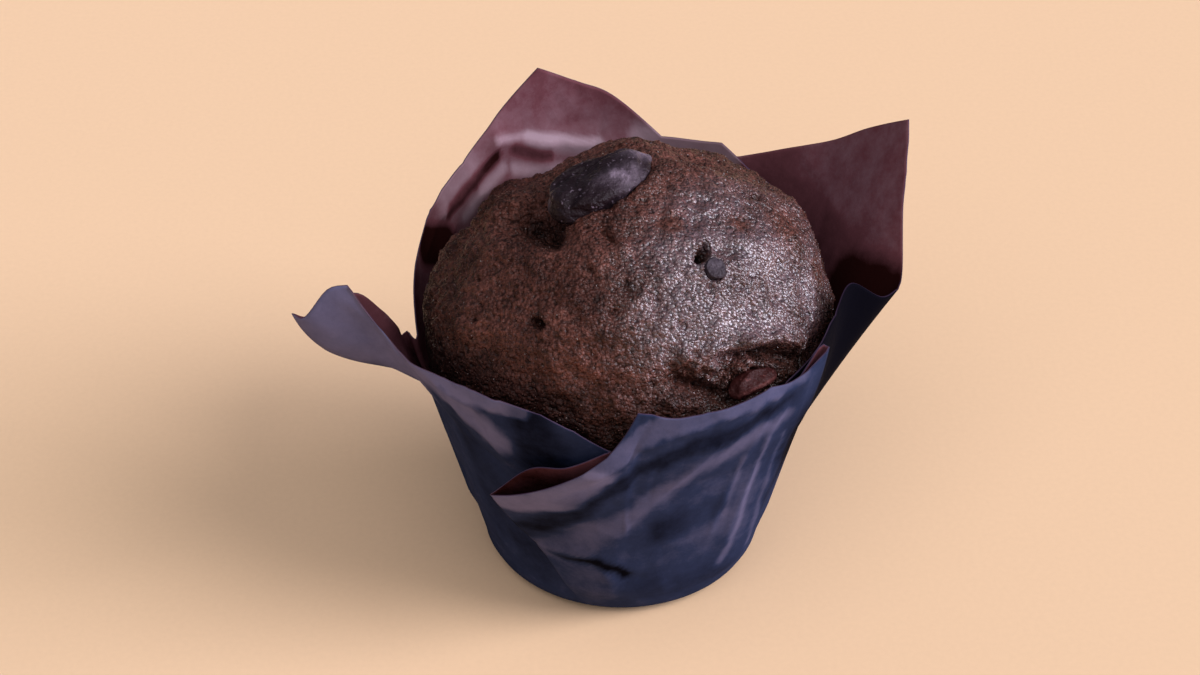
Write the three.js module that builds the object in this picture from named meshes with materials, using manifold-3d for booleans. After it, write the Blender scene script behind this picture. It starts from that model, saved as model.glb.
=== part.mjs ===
// Chocolate muffin in its tulip case.
//
// The case is one square sheet of greaseproof paper pressed into a round cup. Its four
// corners stand up as petals, and between two petals the spare paper lies in a pleat of
// three plies. The cake fills the cup and domes over it, with chocolate in its crust.
//
// Millimetres, +Z up. The origin is the centre of the flat base of the case.

import * as THREE from 'three';
import { mergeVertices } from 'three/addons/utils/BufferGeometryUtils.js';
import Module from 'manifold-3d';

// ---- Driving dimensions --------------------------------------------------------------

// Case
const BASE_RADIUS = 24; // of the cone of the wall, taken down to the base
const WALL_FLARE = 0.25; // how far the wall leans out for each millimetre of height
const FLOOR_CORNER = 5; // radius between base and wall
const PAPER = 0.5; // thickness of the sheet
const PLY_STEP = 0.85; // middle to middle of two plies in a pleat
const EDGE_STEP = 1.4; // the same at the free edge, where the plies part
const FOLD_TURN = 1.6; // degrees from a fold line to the flat of the plies
const FOLD_PITCH = 2; // degrees between the ribs of a fold at the base
const PLEAT_START = 4; // height where the spare paper starts to overlap
const PLEAT_FULL = 10; // height where the plies have opened to their full step

// Cake
const CAKE_CLEARANCE = 0.35; // between cake and paper
const CROWN_HEIGHT = 49.5; // height of the widest part
const CROWN_RADIUS = 35.4;
const DOME_HEIGHT = 29.6; // top of the dome above the crown
const DOME_SHIFT = 1.2; // the dome stands this far towards +X
const CHUNK_GAP = 0.3; // between a chunk and the crust that holds it
const CHUNK_UNEVEN = 0.07; // share by which a chunk swells and shrinks over its faces

// Facets
const RIB_STEPS = 2;
const CORNER_ROWS = 2;
const WALL_ROWS = 5;
const PETAL_ROWS = 6;
const CAKE_COLUMNS = 84;
const DOME_ROWS = 20;
const BODY_ROWS = 5;

const DEGREE = Math.PI / 180;

// ---- Small helpers -------------------------------------------------------------------

const wasm = await Module();
wasm.setup();

function lerp(from, to, share) {
  return from + (to - from) * share;
}

function smoothstep(low, high, value) {
  const share = Math.min(1, Math.max(0, (value - low) / (high - low)));
  return share * share * (3 - 2 * share);
}

function fromCylinder(azimuth, radius, height) {
  return new THREE.Vector3(
    radius * Math.cos(azimuth * DEGREE),
    radius * Math.sin(azimuth * DEGREE),
    height,
  );
}

function coneRadius(height) {
  return BASE_RADIUS + WALL_FLARE * height;
}

function geometryFrom(points, triangles) {
  const geometry = new THREE.BufferGeometry();
  const numbers = points.flatMap((point) => [point.x, point.y, point.z]);
  geometry.setAttribute('position', new THREE.Float32BufferAttribute(numbers, 3));
  geometry.setIndex(triangles.flat());
  return geometry;
}

function toSolid(geometry) {
  const bare = geometry.clone();
  bare.deleteAttribute('normal');
  bare.deleteAttribute('uv');
  const merged = mergeVertices(bare, 1e-4);
  return new wasm.Manifold(new wasm.Mesh({
    numProp: 3,
    vertProperties: new Float32Array(merged.attributes.position.array),
    triVerts: new Uint32Array(merged.index.array),
  }));
}

function fromSolid(solid) {
  const mesh = solid.getMesh();
  const geometry = new THREE.BufferGeometry();
  geometry.setAttribute('position', new THREE.BufferAttribute(new Float32Array(mesh.vertProperties), 3));
  geometry.setIndex(new THREE.BufferAttribute(new Uint32Array(mesh.triVerts), 1));
  return geometry;
}

function finished(name, geometry, material) {
  geometry.computeVertexNormals();
  const mesh = new THREE.Mesh(geometry, material);
  mesh.name = name;
  return mesh;
}

// ---- Materials -----------------------------------------------------------------------

function paperMaterial() {
  return new THREE.MeshStandardMaterial({ color: 0x3a3344, roughness: 0.55, metalness: 0 });
}

function crumbMaterial() {
  return new THREE.MeshStandardMaterial({ color: 0x3b2219, roughness: 0.85, metalness: 0 });
}

function chocolateMaterial() {
  return new THREE.MeshStandardMaterial({ color: 0x24161a, roughness: 0.4, metalness: 0 });
}

// ---- Case ----------------------------------------------------------------------------

// The case is drawn by its ribs, in the order in which the sheet runs round the cup. A rib
// climbs from the base to the free edge of the sheet:
//   foot   azimuth at the base
//   waist  azimuth and height where it leaves the cone of the cup
//   ply    how many plies of paper lie between it and the cake
//   belly  radius and height of the point that bends the petal
//   lip    radius and height of a second such point, on a rib that bends twice
//   edge   azimuth, radius and height of the free edge
//   corner the free edge turns sharply here
//   crease the whole rib is a fold line
//   steps  facets up to the next rib, where they aren't RIB_STEPS
const PETAL_RIGHT = [
  { foot: -8, waist: [-3, 24], ply: 1, belly: [39.3, 41.3], edge: [1.5, 48, 53.8], crease: true, steps: 1 },
  { foot: -3, waist: [4, 27], ply: 1, belly: [40, 42], edge: [5, 49, 55.5] },
  { foot: 4, waist: [12, 31], ply: 1.1, belly: [40, 48], edge: [12, 49.9, 66.2] },
  { foot: 13, waist: [22, 34], ply: 1, belly: [40.5, 52], edge: [21, 53.3, 77.2], corner: true },
  { foot: 22, waist: [31, 35], ply: 1.2, belly: [40.5, 52], edge: [31, 51, 70.6] },
  { foot: 30, waist: [39, 35], ply: 1.4, belly: [40.5, 50], edge: [40, 48.8, 64.4] },
  { foot: 39, waist: [50, 35], ply: 1.9, belly: [40, 48], edge: [51, 44.5, 60.2] },
];

const PETAL_BACK = [
  { foot: 66, waist: [61, 38], ply: 0, belly: [38, 50], edge: [62.1, 38.8, 62], corner: true, steps: 1 },
  { foot: 72, waist: [69, 38], ply: 0, belly: [38, 50], edge: [69, 38.8, 61.2] },
  { foot: 80, waist: [79, 38], ply: 0, belly: [38, 50], edge: [79, 38.6, 61], corner: true },
  { foot: 90, waist: [91, 38], ply: 0, belly: [38, 52], edge: [92.6, 38.7, 69.6] },
  { foot: 100, waist: [102, 38], ply: 0, belly: [38, 56], edge: [102.3, 38.6, 73.1] },
  { foot: 110, waist: [112, 38], ply: 0, belly: [38, 58], edge: [113, 38.4, 77.4], corner: true },
  { foot: 120, waist: [122, 38], ply: 0, belly: [38, 56], edge: [124.2, 38.4, 71] },
  { foot: 130, waist: [134, 37], ply: 0, belly: [38, 52], edge: [137.2, 38.4, 64.1], steps: 3 },
  { foot: 140, waist: [147, 36], ply: 0, belly: [37.8, 48], edge: [150.8, 38.1, 59.8] },
  { foot: 150, waist: [159, 36], ply: 0, belly: [37.8, 46], edge: [162, 37.6, 55.5] },
  { foot: 158, waist: [170, 34], ply: 0, belly: [36.5, 44], edge: [173, 36.8, 51.4] },
];

// The left petal is a narrow spout that lies out flat, with its tip curled up.
const PETAL_LEFT = [
  { foot: 181, waist: [184, 34], ply: 1.8, belly: [38, 42], edge: [187.5, 39.3, 50.4], steps: 1 },
  { foot: 184, waist: [187, 35], ply: 1, belly: [38.8, 44], edge: [190, 42, 55.8] },
  { foot: 187, waist: [190, 37], ply: 0.4, belly: [41, 46], edge: [192, 46.8, 61.2] },
  { foot: 190, waist: [193, 41], ply: 0.1, belly: [44.5, 47], edge: [192.9, 54.4, 58.2], steps: 1 },
  {
    foot: 193,
    waist: [196, 41],
    ply: 0,
    belly: [37, 48.6],
    lip: [52.3, 44.8],
    edge: [195, 57.6, 60.8],
    crease: true,
    steps: 1,
  },
  { foot: 195, waist: [198.5, 42], ply: 0, belly: [43.5, 48.5], edge: [196.8, 55.8, 60.9], steps: 1 },
  { foot: 198, waist: [201, 42], ply: 0, belly: [42, 49.5], edge: [197.8, 51.9, 66.4], steps: 1 },
  { foot: 201, waist: [204, 42], ply: 0, belly: [40.5, 50], edge: [199, 48.6, 67.3], corner: true },
  { foot: 205, waist: [207, 40], ply: 0, belly: [38.8, 48], edge: [201, 45, 60.4] },
  { foot: 209, waist: [211, 40], ply: 0, belly: [37.8, 47], edge: [204.5, 40.8, 53.8] },
];

const PANEL_LEFT = [
  { foot: 216, waist: [218, 38], ply: 0, belly: [37.6, 47], edge: [217.5, 38.8, 54.6], steps: 3 },
  { foot: 225, waist: [229, 38], ply: 0, belly: [37.6, 47], edge: [229.5, 38.6, 56] },
  { foot: 233, waist: [240, 38], ply: 0, belly: [37.6, 47], edge: [241, 38.5, 56.4] },
  { foot: 239, waist: [248, 38], ply: 0, belly: [37.6, 47], edge: [249.2, 38.4, 56], corner: true },
  { foot: 243, waist: [256, 38], ply: 0, belly: [37.2, 46], edge: [256.5, 38.2, 53.8] },
];

// The front petal lies collapsed against the left panel, as a flat pocket.
const PETAL_FRONT = [
  { foot: 251, waist: [255, 32], ply: 1, belly: [37.2, 40], edge: [256, 38.8, 46] },
  { foot: 252, waist: [245, 26], ply: 1.2, belly: [36.2, 36], edge: [246, 38.6, 43.6] },
  { foot: 253.5, waist: [241, 20], ply: 1.8, belly: [36.4, 28], edge: [235.6, 39.6, 35.9], crease: true },
  { foot: 256, waist: [248, 24], ply: 2.2, belly: [37.8, 33], edge: [243.3, 40.6, 39] },
  { foot: 259, waist: [256, 28], ply: 2.4, belly: [38.8, 37], edge: [251.7, 41, 42.7] },
  { foot: 262, waist: [263, 32], ply: 2.4, belly: [39.4, 41], edge: [259, 41, 46.6] },
  { foot: 265, waist: [268, 35], ply: 2.3, belly: [39.8, 45], edge: [266, 40.8, 51], corner: true, steps: 1 },
  { foot: 267, waist: [270.5, 36], ply: 2.1, belly: [39.6, 46], edge: [270.2, 40.2, 55.2], steps: 1 },
];

const PANEL_FRONT = [
  {
    foot: 270,
    waist: [273, 38],
    ply: 1.8,
    belly: [39.2, 48],
    edge: [273.2, 39.9, 59.6],
    corner: true,
    steps: 1,
  },
  { foot: 273, waist: [276, 38], ply: 1.6, belly: [39, 48], edge: [275.9, 39.7, 59.1], corner: true },
  { foot: 280, waist: [282, 38], ply: 1.2, belly: [38.6, 48], edge: [282, 39.4, 57.6] },
  { foot: 289, waist: [291, 38], ply: 0.9, belly: [38.4, 48], edge: [291.2, 39.4, 57.5] },
  { foot: 298, waist: [300, 38], ply: 0.9, belly: [38.4, 48], edge: [299.6, 39.4, 57.8] },
  { foot: 305, waist: [307, 38], ply: 1.4, belly: [38.6, 48], edge: [307.1, 39.4, 58.5], corner: true },
  { foot: 312, waist: [315, 38], ply: 1.9, belly: [39, 48], edge: [314.4, 39.4, 57.3], steps: 3 },
];

// The near wall of the right petal, from the cake out to the keel of the spout.
const NEAR_WALL_RIGHT = [
  { foot: 335, waist: [328, 37], ply: 0, belly: [37.8, 47], edge: [329, 38.3, 57.6] },
  { foot: 340, waist: [338, 35], ply: 0, belly: [37.8, 46], edge: [340, 38.3, 60.4] },
  { foot: 345, waist: [346, 32], ply: 0.4, belly: [37.8, 45], edge: [349, 39.6, 61.6] },
  { foot: 349, waist: [352.5, 28], ply: 0.8, belly: [38.6, 42.7], edge: [356.6, 44.8, 55] },
];

// Three ribs that turn the sheet back over itself. They lie before, on and behind the fold
// line, and turn is 1 where the azimuth has grown up to the fold and -1 where it has shrunk.
// The radii of belly and edge are those of the innermost ply.
function fold({ foot, waist, belly, edge, plies, turn }) {
  return [0, 1, 2].map((place) => {
    const ply = lerp(plies[0], plies[1], place / 2);
    const back = place === 1 ? 0 : turn * FOLD_TURN;
    return {
      foot: foot + (place - 1) * FOLD_PITCH,
      waist: [waist[0] - back, waist[1]],
      ply,
      belly: [belly[0] + ply * PLY_STEP, belly[1]],
      edge: [edge[0] - back, edge[1] + ply * EDGE_STEP, edge[2]],
      steps: place === 2 ? RIB_STEPS : 1,
    };
  });
}

// Between two petals the sheet is folded over itself and back again.
const PLEAT_BEHIND = [
  { foot: 47, waist: [59, 36], belly: [38.2, 48], edge: [60.2, 38.8, 58.2], plies: [2, 1], turn: 1 },
  { foot: 53, waist: [46, 36], belly: [38.2, 48], edge: [46, 38.8, 56], plies: [1, 0], turn: -1 },
].flatMap(fold);

const PLEAT_LEFT = [
  { foot: 168, waist: [184, 33], belly: [35.8, 41], edge: [185.4, 35.9, 46.6], plies: [0, 1], turn: 1 },
  { foot: 174, waist: [176, 33], belly: [35.9, 40], edge: [177.5, 35.9, 44], plies: [1, 2], turn: -1 },
].flatMap(fold);

const FOLD_FRONT = [
  { foot: 248, waist: [266.5, 35], belly: [36.8, 43], edge: [266.8, 37.6, 50], plies: [0, 1], turn: 1 },
].flatMap(fold);

const PLEAT_RIGHT = [
  { foot: 321, waist: [325.5, 38], belly: [37.9, 48], edge: [326.8, 38.2, 59.4], plies: [2, 1], turn: 1 },
  { foot: 327, waist: [313, 38], belly: [37.8, 47], edge: [314, 38.2, 55.8], plies: [1, 0], turn: -1 },
].flatMap(fold);

const RIBS = [
  ...PETAL_RIGHT,
  ...PLEAT_BEHIND,
  ...PETAL_BACK,
  ...PLEAT_LEFT,
  ...PETAL_LEFT,
  ...PANEL_LEFT,
  ...FOLD_FRONT,
  ...PETAL_FRONT,
  ...PANEL_FRONT,
  ...PLEAT_RIGHT,
  ...NEAR_WALL_RIGHT,
];

// The point of a column on the cup, at a height below its waist.
function cupPoint(column, height) {
  const turned = Math.max(0, height - PLEAT_START) / (column.waist[1] - PLEAT_START);
  const opened = smoothstep(FLOOR_CORNER / 2, PLEAT_FULL, height);
  return {
    azimuth: lerp(column.foot, column.waist[0], turned),
    radius: coneRadius(height) + column.ply * PLY_STEP * opened,
    height,
  };
}

// The two points that bend a rib above its waist, as radius and height.
function lowBend(rib) {
  const waist = cupPoint(rib, rib.waist[1]);
  const eased = [lerp(waist.radius, rib.belly[0], 2 / 3), lerp(waist.height, rib.belly[1], 2 / 3)];
  return rib.lip ? rib.belly : eased;
}

function highBend(rib) {
  return rib.lip ?? [lerp(rib.edge[1], rib.belly[0], 2 / 3), lerp(rib.edge[2], rib.belly[1], 2 / 3)];
}

// A value between the middle two of four, on a spline that passes through all of them.
function spline(before, from, to, after, share) {
  const slopeFrom = (to - before) / 2;
  const slopeTo = (after - from) / 2;
  const square = share * share;
  const cube = square * share;
  return (2 * cube - 3 * square + 1) * from
    + (cube - 2 * square + share) * slopeFrom
    + (3 * square - 2 * cube) * to
    + (cube - square) * slopeTo;
}

// Azimuths of a rib are moved by a full turn so that they lie near those of the rib before.
function unwound(rib, reference) {
  const turn = 360 * Math.round((reference - rib.foot) / 360);
  return {
    ...rib,
    foot: rib.foot + turn,
    waist: [rib.waist[0] + turn, rib.waist[1]],
    edge: [rib.edge[0] + turn, rib.edge[1], rib.edge[2]],
  };
}

function ribAt(index, reference) {
  return unwound(RIBS[(index + RIBS.length) % RIBS.length], reference);
}

// Ribs and the facet columns between them, in the sheet's order.
function caseColumns() {
  const columns = [];
  RIBS.forEach((from, index) => {
    const to = ribAt(index + 1, from.foot);
    const before = ribAt(index - 1, from.foot);
    const after = ribAt(index + 2, to.foot);
    const value = (read, stopsFrom, stopsTo, share) => {
      const first = stopsFrom ? 2 * read(from) - read(to) : read(before);
      const last = stopsTo ? 2 * read(to) - read(from) : read(after);
      return spline(first, read(from), read(to), last, share);
    };
    const steps = from.steps ?? RIB_STEPS;
    for (let step = 0; step < steps; step += 1) {
      const share = step / steps;
      const body = (read) => value(read, from.crease, to.crease, share);
      const free = (read) => value(read, from.crease || from.corner, to.crease || to.corner, share);
      columns.push({
        foot: body((rib) => rib.foot),
        waist: [body((rib) => rib.waist[0]), body((rib) => rib.waist[1])],
        ply: body((rib) => rib.ply),
        low: [body((rib) => lowBend(rib)[0]), body((rib) => lowBend(rib)[1])],
        high: [body((rib) => highBend(rib)[0]), body((rib) => highBend(rib)[1])],
        edge: [free((rib) => rib.edge[0]), free((rib) => rib.edge[1]), free((rib) => rib.edge[2])],
      });
    }
  });
  return columns;
}

// The point of a column above its waist, on a cubic curve through its bends.
function petalPoint(column, share) {
  const waist = cupPoint(column, column.waist[1]);
  const [azimuth, radius, height] = column.edge;
  const rest = 1 - share;
  const cubic = (a, b, c, d) => (
    rest ** 3 * a + 3 * rest ** 2 * share * b + 3 * rest * share ** 2 * c + share ** 3 * d);
  return {
    azimuth: lerp(waist.azimuth, azimuth, share),
    radius: cubic(waist.radius, column.low[0], column.high[0], radius),
    height: cubic(waist.height, column.low[1], column.high[1], height),
  };
}

// Rows of one column, from the corner of the floor to the free edge.
function columnPoints(column) {
  const half = PAPER / 2;
  const cornerTop = FLOOR_CORNER;
  const cornerCentre = coneRadius(cornerTop) - FLOOR_CORNER;
  const points = [];
  for (let row = 0; row < CORNER_ROWS; row += 1) {
    const angle = (row / CORNER_ROWS) * 90 * DEGREE;
    const radius = cornerCentre + FLOOR_CORNER * Math.sin(angle);
    const height = half + (cornerTop - half) * (1 - Math.cos(angle));
    points.push(fromCylinder(column.foot, radius, height));
  }
  for (let row = 0; row < WALL_ROWS; row += 1) {
    const point = cupPoint(column, lerp(cornerTop, column.waist[1], row / WALL_ROWS));
    points.push(fromCylinder(point.azimuth, point.radius, point.height));
  }
  for (let row = 0; row <= PETAL_ROWS; row += 1) {
    const point = petalPoint(column, row / PETAL_ROWS);
    points.push(fromCylinder(point.azimuth, point.radius, point.height));
  }
  return points;
}

// Normals of the sheet, pointing away from the cake, by the grid's own neighbours.
function sheetNormals(grid) {
  const count = grid.length;
  const rows = grid[0].length;
  return grid.map((points, column) => points.map((point, row) => {
    const ahead = grid[(column + 1) % count][row];
    const behind = grid[(column + count - 1) % count][row];
    const above = points[Math.min(row + 1, rows - 1)];
    const below = points[Math.max(row - 1, 0)];
    const around = ahead.clone().sub(behind);
    const upward = above.clone().sub(below);
    return around.cross(upward).normalize();
  }));
}

// The sheet as a closed solid: an outer and an inner skin, joined along the free edge.
function caseGeometry() {
  const grid = caseColumns().map(columnPoints);
  const normals = sheetNormals(grid);
  const rows = grid[0].length;
  const half = PAPER / 2;
  const points = [];
  const skins = [half, -half].map((offset) => grid.map((column, c) => column.map((point, r) => {
    const moved = point.clone();
    if (r === 0) {
      moved.z += -offset;
    } else {
      moved.addScaledVector(normals[c][r], offset);
    }
    points.push(moved);
    return points.length - 1;
  })));
  const [outer, inner] = skins;
  const outerCentre = points.push(new THREE.Vector3(0, 0, 0)) - 1;
  const innerCentre = points.push(new THREE.Vector3(0, 0, PAPER)) - 1;
  const triangles = [];
  grid.forEach((column, c) => {
    const n = (c + 1) % grid.length;
    triangles.push([outerCentre, outer[n][0], outer[c][0]]);
    triangles.push([innerCentre, inner[c][0], inner[n][0]]);
    for (let r = 0; r < rows - 1; r += 1) {
      triangles.push([outer[c][r], outer[n][r], outer[n][r + 1]]);
      triangles.push([outer[c][r], outer[n][r + 1], outer[c][r + 1]]);
      triangles.push([inner[c][r], inner[n][r + 1], inner[n][r]]);
      triangles.push([inner[c][r], inner[c][r + 1], inner[n][r + 1]]);
    }
    const top = rows - 1;
    triangles.push([outer[c][top], outer[n][top], inner[n][top]]);
    triangles.push([outer[c][top], inner[n][top], inner[c][top]]);
  });
  return geometryFrom(points, triangles);
}

// ---- Cake ----------------------------------------------------------------------------

// Broad swells and hollows of the crust: azimuth and elevation of the middle, height
// (below zero for a hollow) and half width in degrees.
const SWELLS = [
  { at: [150, 42], height: -3.2, width: 22 },
  { at: [125, 62], height: -2.6, width: 18 },
  { at: [157, 64.5], height: -3, width: 7 },
  { at: [120, 35], height: -3.8, width: 11 },
  { at: [101, 43], height: -1.2, width: 10 },
  { at: [135, 22], height: 1.4, width: 6 },
  { at: [151, 18], height: -4, width: 9 },
  { at: [165, 32], height: -2.2, width: 7 },
  { at: [45, 57], height: -2.8, width: 16 },
  { at: [70, 44], height: -2, width: 9 },
  { at: [75, 70], height: 1.2, width: 8 },
  { at: [182, 52], height: 2.4, width: 9 },
  { at: [204, 62], height: -3.2, width: 8 },
  { at: [200, 12], height: 0.8, width: 18 },
  { at: [10, 38], height: 1.2, width: 16 },
  { at: [322, 17], height: 1.6, width: 8 },
  { at: [304, 15], height: -2, width: 7 },
  { at: [291, 17], height: -0.8, width: 5 },
  { at: [250, 25], height: 0.6, width: 18 },
];

// Valleys where the crust has cracked or folded: two ends, depth and half width.
const VALLEYS = [
  { from: [298, 24], to: [316, 20], depth: 1.7, width: 3.4 },
  { from: [316, 20], to: [330, 8], depth: 1.1, width: 3.4 },
  { from: [284, 20], to: [298, 12], depth: 1, width: 3 },
  { from: [225, 60], to: [195, 52], depth: 1.4, width: 4 },
];

// Open pores: middle, heading of the long side, and half sizes along, across and inward.
const PORES = [
  { at: [238.2, 34.7], heading: -25, size: [1.6, 0.9, 2.2] },
  { at: [309.2, 56.6], heading: 90, size: [1.7, 1.3, 2.6] },
  { at: [6.5, 51.9], heading: 60, size: [1, 0.8, 1.5] },
];

function direction([azimuth, elevation]) {
  return fromCylinder(azimuth, Math.cos(elevation * DEGREE), Math.sin(elevation * DEGREE));
}

function angleBetween(first, second) {
  return Math.acos(Math.min(1, Math.max(-1, first.dot(second)))) / DEGREE;
}

function angleToPath(heading, from, to) {
  const start = direction(from);
  const path = direction(to).sub(start);
  const along = heading.clone().sub(start).dot(path) / path.lengthSq();
  const nearest = start.addScaledVector(path, Math.min(1, Math.max(0, along))).normalize();
  return angleBetween(heading, nearest);
}

function bell(distance, width) {
  return Math.exp(-((distance / width) ** 2));
}

// Uneven rise of the batter, as three crossed waves of a few millimetres' length.
function unevenness(heading) {
  const waves = Math.sin(9 * heading.x + 4 * heading.z + 1)
    + Math.sin(11 * heading.y - 5 * heading.x + 2)
    + Math.sin(13 * heading.z + 7 * heading.y);
  return 0.22 * waves;
}

function crustRelief(place) {
  const heading = direction(place);
  const swells = SWELLS.reduce((sum, swell) => (
    sum + swell.height * bell(angleBetween(heading, direction(swell.at)), swell.width)), 0);
  const valleys = VALLEYS.reduce((sum, valley) => (
    sum + valley.depth * bell(angleToPath(heading, valley.from, valley.to), valley.width)), 0);
  return swells - valleys + unevenness(heading);
}

// A point of the dome, raised from its smooth form by rise.
function domePoint([azimuth, elevation], rise) {
  const level = Math.cos(elevation * DEGREE);
  const reach = CROWN_RADIUS + rise;
  const height = CROWN_HEIGHT + (DOME_HEIGHT + rise) * Math.sin(elevation * DEGREE);
  const point = fromCylinder(azimuth, reach * level, height);
  point.x += DOME_SHIFT;
  return point;
}

function crustPoint(place) {
  const settled = smoothstep(0, 14, place[1]);
  return domePoint(place, crustRelief(place) * settled);
}

// The cake below the crown: it follows the inside of the cup and then swells to the crown.
function bodyPoint(azimuth, share) {
  const low = PAPER + CAKE_CLEARANCE;
  const height = lerp(low, CROWN_HEIGHT, share);
  const inset = PAPER / 2 + CAKE_CLEARANCE;
  const round = FLOOR_CORNER - inset;
  const fromFloor = Math.min(1, (height - low) / round);
  const rounding = round * (1 - Math.sqrt(1 - (1 - fromFloor) ** 2));
  const snug = coneRadius(height) - inset - rounding;
  const crowned = lerp(snug, CROWN_RADIUS, smoothstep(0.8, 1, share));
  const point = fromCylinder(azimuth, Math.min(crowned, CROWN_RADIUS), height);
  point.x += DOME_SHIFT * smoothstep(0.8, 1, share);
  return point;
}

function cakeGeometry() {
  const rings = [];
  const shares = [0, 0.03, 0.09];
  for (let row = 1; row <= BODY_ROWS; row += 1) {
    shares.push(0.09 + (0.91 * row) / (BODY_ROWS + 1));
  }
  const azimuths = Array.from({ length: CAKE_COLUMNS }, (_, c) => (360 * c) / CAKE_COLUMNS);
  shares.forEach((share) => rings.push(azimuths.map((azimuth) => bodyPoint(azimuth, share))));
  for (let row = 0; row < DOME_ROWS; row += 1) {
    const elevation = (90 * row) / DOME_ROWS;
    rings.push(azimuths.map((azimuth) => crustPoint([azimuth, elevation])));
  }
  const points = rings.flat();
  const floor = points.push(new THREE.Vector3(0, 0, PAPER + CAKE_CLEARANCE)) - 1;
  const top = points.push(crustPoint([0, 90])) - 1;
  const triangles = [];
  azimuths.forEach((_, c) => {
    const n = (c + 1) % CAKE_COLUMNS;
    triangles.push([floor, n, c]);
    for (let r = 0; r < rings.length - 1; r += 1) {
      const low = r * CAKE_COLUMNS;
      const high = low + CAKE_COLUMNS;
      triangles.push([low + c, low + n, high + n]);
      triangles.push([low + c, high + n, high + c]);
    }
    const last = (rings.length - 1) * CAKE_COLUMNS;
    triangles.push([last + c, last + n, top]);
  });
  return geometryFrom(points, triangles);
}

// Axes of the crust at a place: along a heading seen from above, across it, and outward.
function crustFrame(place, heading) {
  const outward = direction(place);
  const along = fromCylinder(heading, 1, 0);
  const across = outward.clone().cross(along).normalize();
  return new THREE.Matrix4().makeBasis(across.clone().cross(outward), across, outward);
}

function poreSolid(pore) {
  const pit = new THREE.IcosahedronGeometry(1, 1);
  pit.scale(...pore.size);
  pit.applyMatrix4(crustFrame(pore.at, pore.heading));
  pit.translate(...crustPoint(pore.at));
  return toSolid(pit);
}

// ---- Chocolate -----------------------------------------------------------------------

// Chocolate in the crust: place on the dome, heading of the long side, half sizes along,
// across and out of the crust, and how far the middle stands above the crust.
const CHUNKS = [
  { name: 'chunk_top', at: [200, 81], heading: 38, size: [10.2, 5.7, 4], stand: -0.3, detail: 3 },
  { name: 'chunk_rim', at: [307, 11.8], heading: 38, size: [4.8, 2.3, 2.5], stand: 0.3, detail: 2 },
  { name: 'chip_small', at: [306.9, 50.2], heading: 40, size: [1.9, 1.8, 1.6], stand: 0.3, detail: 1 },
];

// A broken lump of chocolate: a ball cut flatter on a few sides and left a little uneven.
function chunkGeometry(chunk, growth) {
  const lump = new THREE.IcosahedronGeometry(1, chunk.detail);
  const place = lump.attributes.position;
  for (let index = 0; index < place.count; index += 1) {
    const point = new THREE.Vector3().fromBufferAttribute(place, index);
    const waves = Math.sin(5 * point.x + 1) * Math.cos(4 * point.y + 2) + Math.sin(6 * point.z + 3 * point.x);
    const swell = 1 + CHUNK_UNEVEN * waves;
    const half = new THREE.Vector3(...chunk.size).addScalar(growth);
    point.multiplyScalar(swell).multiply(half);
    place.setXYZ(index, point.x, point.y, point.z);
  }
  lump.applyMatrix4(crustFrame(chunk.at, chunk.heading));
  lump.translate(...crustPoint(chunk.at).addScaledVector(direction(chunk.at), chunk.stand));
  return lump;
}

// ---- The muffin ----------------------------------------------------------------------

function cake() {
  let solid = toSolid(cakeGeometry());
  PORES.forEach((pore) => {
    solid = solid.subtract(poreSolid(pore));
  });
  CHUNKS.forEach((chunk) => {
    solid = solid.subtract(toSolid(chunkGeometry(chunk, CHUNK_GAP)));
  });
  return finished('muffin', fromSolid(solid), crumbMaterial());
}

const group = new THREE.Group();
group.add(finished('wrapper', caseGeometry(), paperMaterial()));
group.add(cake());
CHUNKS.forEach((chunk) => {
  group.add(finished(chunk.name, fromSolid(toSolid(chunkGeometry(chunk, 0))), chocolateMaterial()));
});

export default group;
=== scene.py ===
import math
from collections import namedtuple
from functools import partial

import bmesh
import bpy
import numpy as np
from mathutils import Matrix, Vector, noise


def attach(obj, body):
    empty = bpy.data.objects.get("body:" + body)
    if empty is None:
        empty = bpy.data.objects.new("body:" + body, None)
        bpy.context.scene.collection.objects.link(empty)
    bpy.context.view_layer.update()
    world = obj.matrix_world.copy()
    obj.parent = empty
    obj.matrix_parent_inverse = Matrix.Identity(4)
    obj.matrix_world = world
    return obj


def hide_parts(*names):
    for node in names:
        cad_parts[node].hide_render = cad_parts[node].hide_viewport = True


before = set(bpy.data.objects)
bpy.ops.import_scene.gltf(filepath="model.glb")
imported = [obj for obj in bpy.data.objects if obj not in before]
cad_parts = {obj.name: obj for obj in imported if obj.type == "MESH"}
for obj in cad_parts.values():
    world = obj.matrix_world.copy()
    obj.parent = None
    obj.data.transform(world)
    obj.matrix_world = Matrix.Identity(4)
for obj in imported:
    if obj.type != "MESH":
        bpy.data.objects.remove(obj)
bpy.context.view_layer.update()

# ---- Tulip case ----
# One square sheet of greaseproof paper, dyed wine brown through and printed midnight blue on
# its outer face. A hot die presses it into a round cup, so that its four corners stand up as
# petals and the spare paper between two of them lies in a pleat of three plies.

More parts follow.
